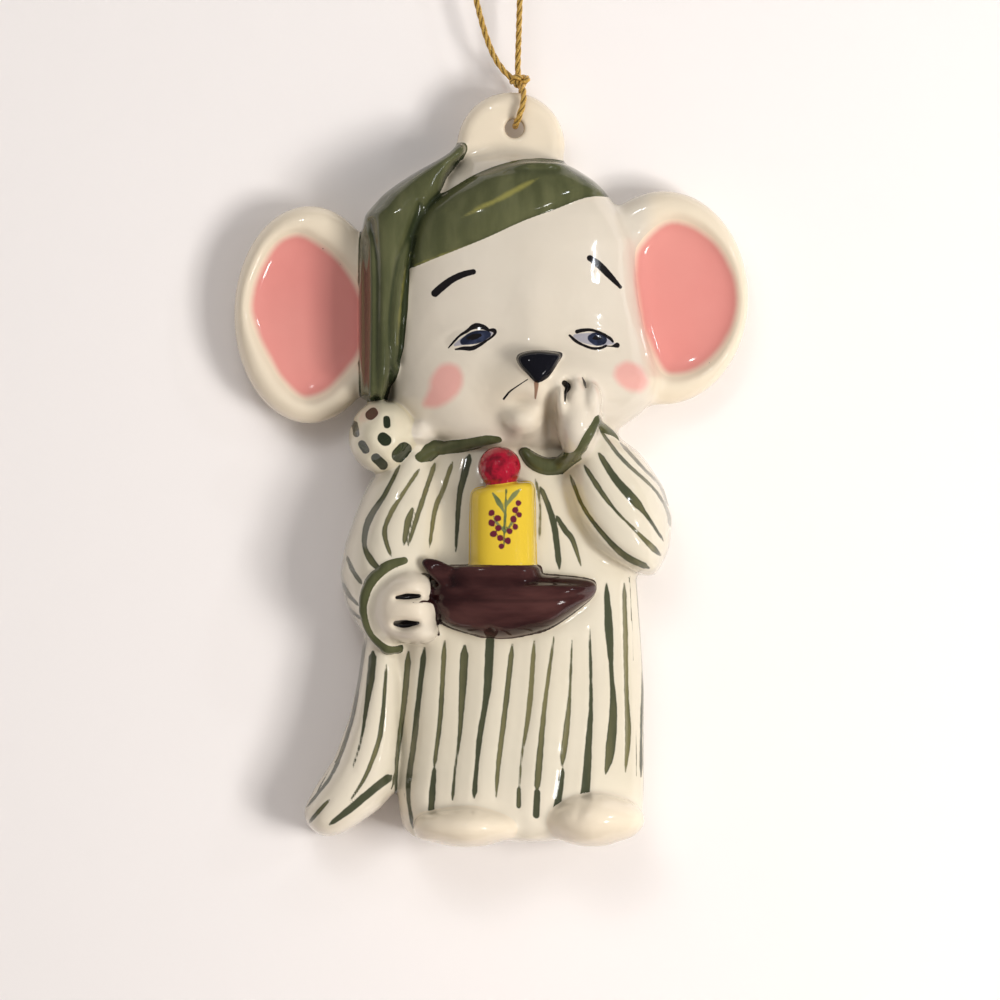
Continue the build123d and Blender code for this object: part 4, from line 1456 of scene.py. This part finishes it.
# The cord's route in millimetres from the hole, as the model has it: behind the lug and through
# the hole up to the knot, up the straight strand, over the hook and down the bowed one
cord_diameter = 0.72
eye_route = (
    (0.75, -0.35, 5.5), (1.15, -2.3, 4.75), (1.1, -3.15, 2.9), (0.45, -3.25, 1.0),
    (0.1, -1.9, 0.3), (0.1, 1.9, 0.3), (0.3, 3.25, 1.0), (0.75, 3.15, 2.9),
    (0.9, 2.3, 4.75), (0.75, 0.35, 5.5),
)
loop_route = (
    (0.35, 0.12, 5.9), (0.55, 0.12, 12.0), (0.85, 0.05, 22.0), (1.35, 0.0, 36.0),
    (2.2, 0.0, 49.0), (2.9, 0.0, 56.5), (1.45, 0.0, 60.0), (-1.45, 0.0, 60.0),
    (-3.3, 0.0, 56.4), (-5.4, 0.1, 47.0), (-6.7, 0.2, 34.5), (-6.1, 0.2, 23.0),
    (-4.5, 0.2, 14.8), (-2.9, 0.1, 9.4), (-1.2, -0.05, 6.7), (0.15, -0.12, 5.7),
)
ply_pitch = 1.25
ply_count = 3
ply_valley = 0.70
ply_swell = 0.34
ply_round = 0.8
ply_end = 0.6
tube_sides = 24
tube_step = 0.13

# The knot: how much of a cord's thickness its line keeps inside its box, the reach of the line
# before it is scaled, and the cut end, from the knot's middle
knot_inset = 0.45
knot_steps = 130
knot_reach = (2.76, 1.0, 2.9)
knot_end = ((0, 0, 0), (-0.7, -0.5, 0.1), (-1.1, -0.75, -0.35))
knot_end_thickness = 0.8


def smooth_route(points):
    """Points along the cord's smooth line, in millimetres from the hole, evenly spaced."""
    data = bpy.data.curves.new("route", "CURVE")
    data.dimensions = "3D"
    data.resolution_u = 20
    spline = data.splines.new("NURBS")
    spline.points.add(len(points) - 1)
    for spot, place in zip(spline.points, points):
        spot.co = (*place, 1)
    spline.order_u = 3
    spline.use_endpoint_u = True
    route = bpy.data.objects.new("route", data)
    bpy.context.scene.collection.objects.link(route)
    bpy.context.view_layer.update()
    smoothed = route.evaluated_get(bpy.context.evaluated_depsgraph_get())
    mesh = bpy.data.meshes.new_from_object(smoothed)
    line = np.array([vertex.co for vertex in mesh.vertices], float)
    bpy.data.objects.remove(route)
    bpy.data.curves.remove(data)
    bpy.data.meshes.remove(mesh)
    return evenly(line, tube_step)


def evenly(line, step):
    """The same line with evenly spaced points."""
    length = np.concatenate([[0], np.cumsum(np.linalg.norm(np.diff(line, axis=0), axis=1))])
    at = np.linspace(0, length[-1], max(int(length[-1] / step), 3))
    return np.array([np.interp(at, length, line[:, axis]) for axis in range(3)]).T


def plied_tube(line, thickness, closed=False):
    """A twisted cord round a line: points, faces, and how deep in a valley each point lies."""
    ahead = np.roll(line, -1, axis=0) - np.roll(line, 1, axis=0)
    if not closed:
        ahead[0], ahead[-1] = line[1] - line[0], line[-1] - line[-2]
    ahead /= np.linalg.norm(ahead, axis=1)[:, None]
    side = np.cross(ahead[0], (0.0, 1.0, 0.2))
    points, valleys = [], []
    turn = np.linspace(0, math.tau, tube_sides, endpoint=False)
    for number, (centre, direction) in enumerate(zip(line, ahead)):
        side = side - direction * side.dot(direction)
        side /= np.linalg.norm(side)
        other = np.cross(direction, side)
        twist = math.tau * number * tube_step / ply_pitch / ply_count
        ply = np.abs(np.cos(ply_count / 2 * (turn - twist)))
        radius = thickness / 2 * (ply_valley + ply_swell * ply ** ply_round)
        if not closed and number in (0, len(line) - 1):
            radius = radius * ply_end
        around = np.cos(turn)[:, None] * side + np.sin(turn)[:, None] * other
        points.append(centre + radius[:, None] * around)
        valleys.append(1 - ply)
    rings = np.arange(len(line) * tube_sides).reshape(-1, tube_sides)
    faces = []
    for number in range(len(line) if closed else len(line) - 1):
        ring, after = rings[number], rings[(number + 1) % len(line)]
        faces += zip(ring.tolist(), np.roll(ring, -1).tolist(),
                     np.roll(after, -1).tolist(), after.tolist())
    if not closed:
        faces += [tuple(rings[0, ::-1].tolist()), tuple(rings[-1].tolist())]
    return np.vstack(points), faces, np.concatenate(valleys)


def make_cord(material):
    """The whole cord, and its line in the frame."""
    line = smooth_route(eye_route + loop_route)
    points, faces, valleys = plied_tube(line, cord_diameter)
    cord = build_mesh("gold_cord", points, faces)
    store(cord.data, "valley", valleys)
    cord.data.materials.append(material)
    return cord, [tuple(place * mm + np.array(hole)) for place in line]


def make_knot(material):
    """The knot above the lug: a tight overhand knot, and one cut end."""
    low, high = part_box("lug_knot")
    middle = (np.array(low + high) / 2 - np.array(hole)) / mm
    half = np.array(high - low) / 2 / mm - cord_diameter * knot_inset
    turn = np.linspace(0, math.tau, knot_steps, endpoint=False)
    trefoil = np.array([
        np.sin(turn) + 2 * np.sin(2 * turn), -np.sin(3 * turn), np.cos(turn) - 2 * np.cos(2 * turn),
    ]).T / knot_reach * half + middle
    line = evenly(np.vstack([trefoil, trefoil[:1]]), tube_step)[:-1]
    points, faces, valleys = plied_tube(line, cord_diameter, closed=True)
    end = evenly(curved(middle + np.array(knot_end)), tube_step)
    end_points, end_faces, end_valleys = plied_tube(end, cord_diameter * knot_end_thickness)
    faces += [tuple(index + len(points) for index in face) for face in end_faces]
    knot = build_mesh("cord_knot", np.vstack([points, end_points]), faces)
    store(knot.data, "valley", np.concatenate([valleys, end_valleys]))
    knot.data.materials.append(material)
    return knot


# Stage, lamps and camera, in metres
wall_gap = 0.25 * mm
stage_size = 1.6
floor_drop = 0.06
stage_colours = {"wall": "#f1ecea", "floor": "#bdb7b3"}

# Each lamp's place from the figure's middle, its width and height, power and tint, and whether
# the glazes mirror it
lamps_middle = hole + Vector((0, 0, -0.042))
lamps = {
    "window": ((0.28, -0.34, -0.08), (0.14, 0.18), 1.36, (1.0, 0.98, 0.95), False),
    "glint": ((0.29, -0.31, -0.12), (0.045, 0.06), 0.18, (1.0, 0.98, 0.96), True),
    "sky": ((-0.10, -0.46, 0.26), (0.30, 0.22), 0.55, (0.97, 0.98, 1.0), False),
    "gap": ((0.40, -0.30, 0.16), (0.02, 0.05), 0.12, (0.9, 0.94, 1.0), True),
    "lamp": ((-0.10, -0.50, 0.30), (0.03, 0.03), 0.12, (1.0, 1.0, 1.0), True),
    "behind": ((0.35, 0.35, 0.25), (0.3, 0.3), 0.6, (1.0, 1.0, 1.0), True),
}

# The room's colour and strength: as light, in the glazes, and as the camera sees it
room_light = ("#f4f1ee", 0.38)
room_mirrored = ("#e6e9f4", 0.16)
room_seen = ("#f1ecea", 1.0)


def make_camera():
    data = bpy.data.cameras.new("camera")
    data.sensor_width = sensor_width
    data.lens = sensor_width * camera_distance / view_width
    data.clip_start = 0.01
    camera = bpy.data.objects.new("camera", data)
    camera.location = hole + Vector((across(view_column), view_depth, rise(view_row))) * mm
    camera.location.y -= camera_distance
    camera.rotation_euler = (math.pi / 2, 0, 0)
    bpy.context.scene.collection.objects.link(camera)
    bpy.context.scene.camera = camera


def stage_paint(name, shade):
    """Pale paint that can be seen through from behind."""
    material = bpy.data.materials.new(name)
    material.use_nodes = True
    tree = material.node_tree
    shader = tree.nodes["Principled BSDF"]
    shader.inputs["Base Color"].default_value = colour(shade)
    shader.inputs["Roughness"].default_value = 0.9
    shader.inputs["Specular IOR Level"].default_value = 0.1
    clear = tree.nodes.new("ShaderNodeBsdfTransparent")
    side = tree.nodes.new("ShaderNodeNewGeometry")
    choose = tree.nodes.new("ShaderNodeMixShader")
    tree.links.new(side.outputs["Backfacing"], choose.inputs[0])
    tree.links.new(shader.outputs[0], choose.inputs[1])
    tree.links.new(clear.outputs[0], choose.inputs[2])
    tree.links.new(choose.outputs[0], tree.nodes["Material Output"].inputs["Surface"])
    return material


def make_stage():
    """A wall behind the ornament, which the glazes mirror, and a floor. Neither blocks a lamp."""
    back = float(hole.y) + flat_back * mm + wall_gap
    low = cad_low.z - floor_drop
    half = stage_size / 2
    corners = {
        "wall": [(-half, back, low), (half, back, low),
                 (half, back, low + stage_size), (-half, back, low + stage_size)],
        "floor": [(-half, back - stage_size, low), (half, back - stage_size, low),
                  (half, back, low), (-half, back, low)],
    }
    for name, places in corners.items():
        mesh = bpy.data.meshes.new(name)
        mesh.from_pydata(places, [], [(0, 1, 2, 3)])
        mesh.materials.append(stage_paint("pale_" + name, stage_colours[name]))
        thing = bpy.data.objects.new(name, mesh)
        thing.visible_shadow = False
        thing.visible_glossy = name == "wall"
        bpy.context.scene.collection.objects.link(thing)


def make_lamp(name, place, size, power, tint, mirrored):
    data = bpy.data.lights.new(name, "AREA")
    data.shape = "RECTANGLE"
    data.size, data.size_y = size
    data.energy = power
    data.color = tint
    lamp = bpy.data.objects.new(name, data)
    lamp.location = lamps_middle + Vector(place)
    lamp.rotation_euler = (lamps_middle - lamp.location).to_track_quat("-Z", "Y").to_euler()
    lamp.visible_glossy = mirrored
    bpy.context.scene.collection.objects.link(lamp)


def make_room():
    """The world: one background for light, and others for glossy rays and for the camera."""
    world = bpy.data.worlds.new("room")
    bpy.context.scene.world = world
    world.use_nodes = True
    tree = world.node_tree

    def fill(background, shade, strength):
        background.inputs["Color"].default_value = colour(shade)
        background.inputs["Strength"].default_value = strength
        return background.outputs[0]

    path = tree.nodes.new("ShaderNodeLightPath")
    light = fill(tree.nodes["Background"], *room_light)
    for ray, room in (("Is Glossy Ray", room_mirrored), ("Is Camera Ray", room_seen)):
        choose = tree.nodes.new("ShaderNodeMixShader")
        tree.links.new(path.outputs[ray], choose.inputs[0])
        tree.links.new(light, choose.inputs[1])
        background = fill(tree.nodes.new("ShaderNodeBackground"), *room)
        tree.links.new(background, choose.inputs[2])
        light = choose.outputs[0]
    tree.links.new(light, tree.nodes["World Output"].inputs["Surface"])
    bpy.context.scene.view_settings.view_transform = "Standard"


make_camera()
for name, lamp in lamps.items():
    make_lamp(name, *lamp)
make_room()
make_stage()

gold = gold_thread()
knot = make_knot(gold)
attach(knot, "hanger")
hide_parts("lug_knot")
cord, cord_line = make_cord(gold)
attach(cord, "hanger")
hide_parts("cord_loop", "cord_eye")

figure = model_figure()
hollow_field = figure.hollowness(hollow_radius)
glazes = {
    "glazed_white": white_glaze(), "glazed_cream": cream_glaze(), "glazed_pink": pink_glaze(),
    "glazed_olive": green_glaze(), "glazed_spotted": spotted_glaze(),
    "glazed_black": black_glaze(), "glazed_yellow": yellow_glaze(),
    "glazed_crimson": crimson_glaze(), "glazed_maroon": maroon_glaze(),
}
for slot, nodes in slot_nodes.items():
    for node in nodes:
        piece = make_piece(figure, hollow_field, node, slot)
        piece.data.materials.append(glazes[slot])
        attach(piece, "figurine")
        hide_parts(node)
        print(node, len(piece.data.polygons), "faces")
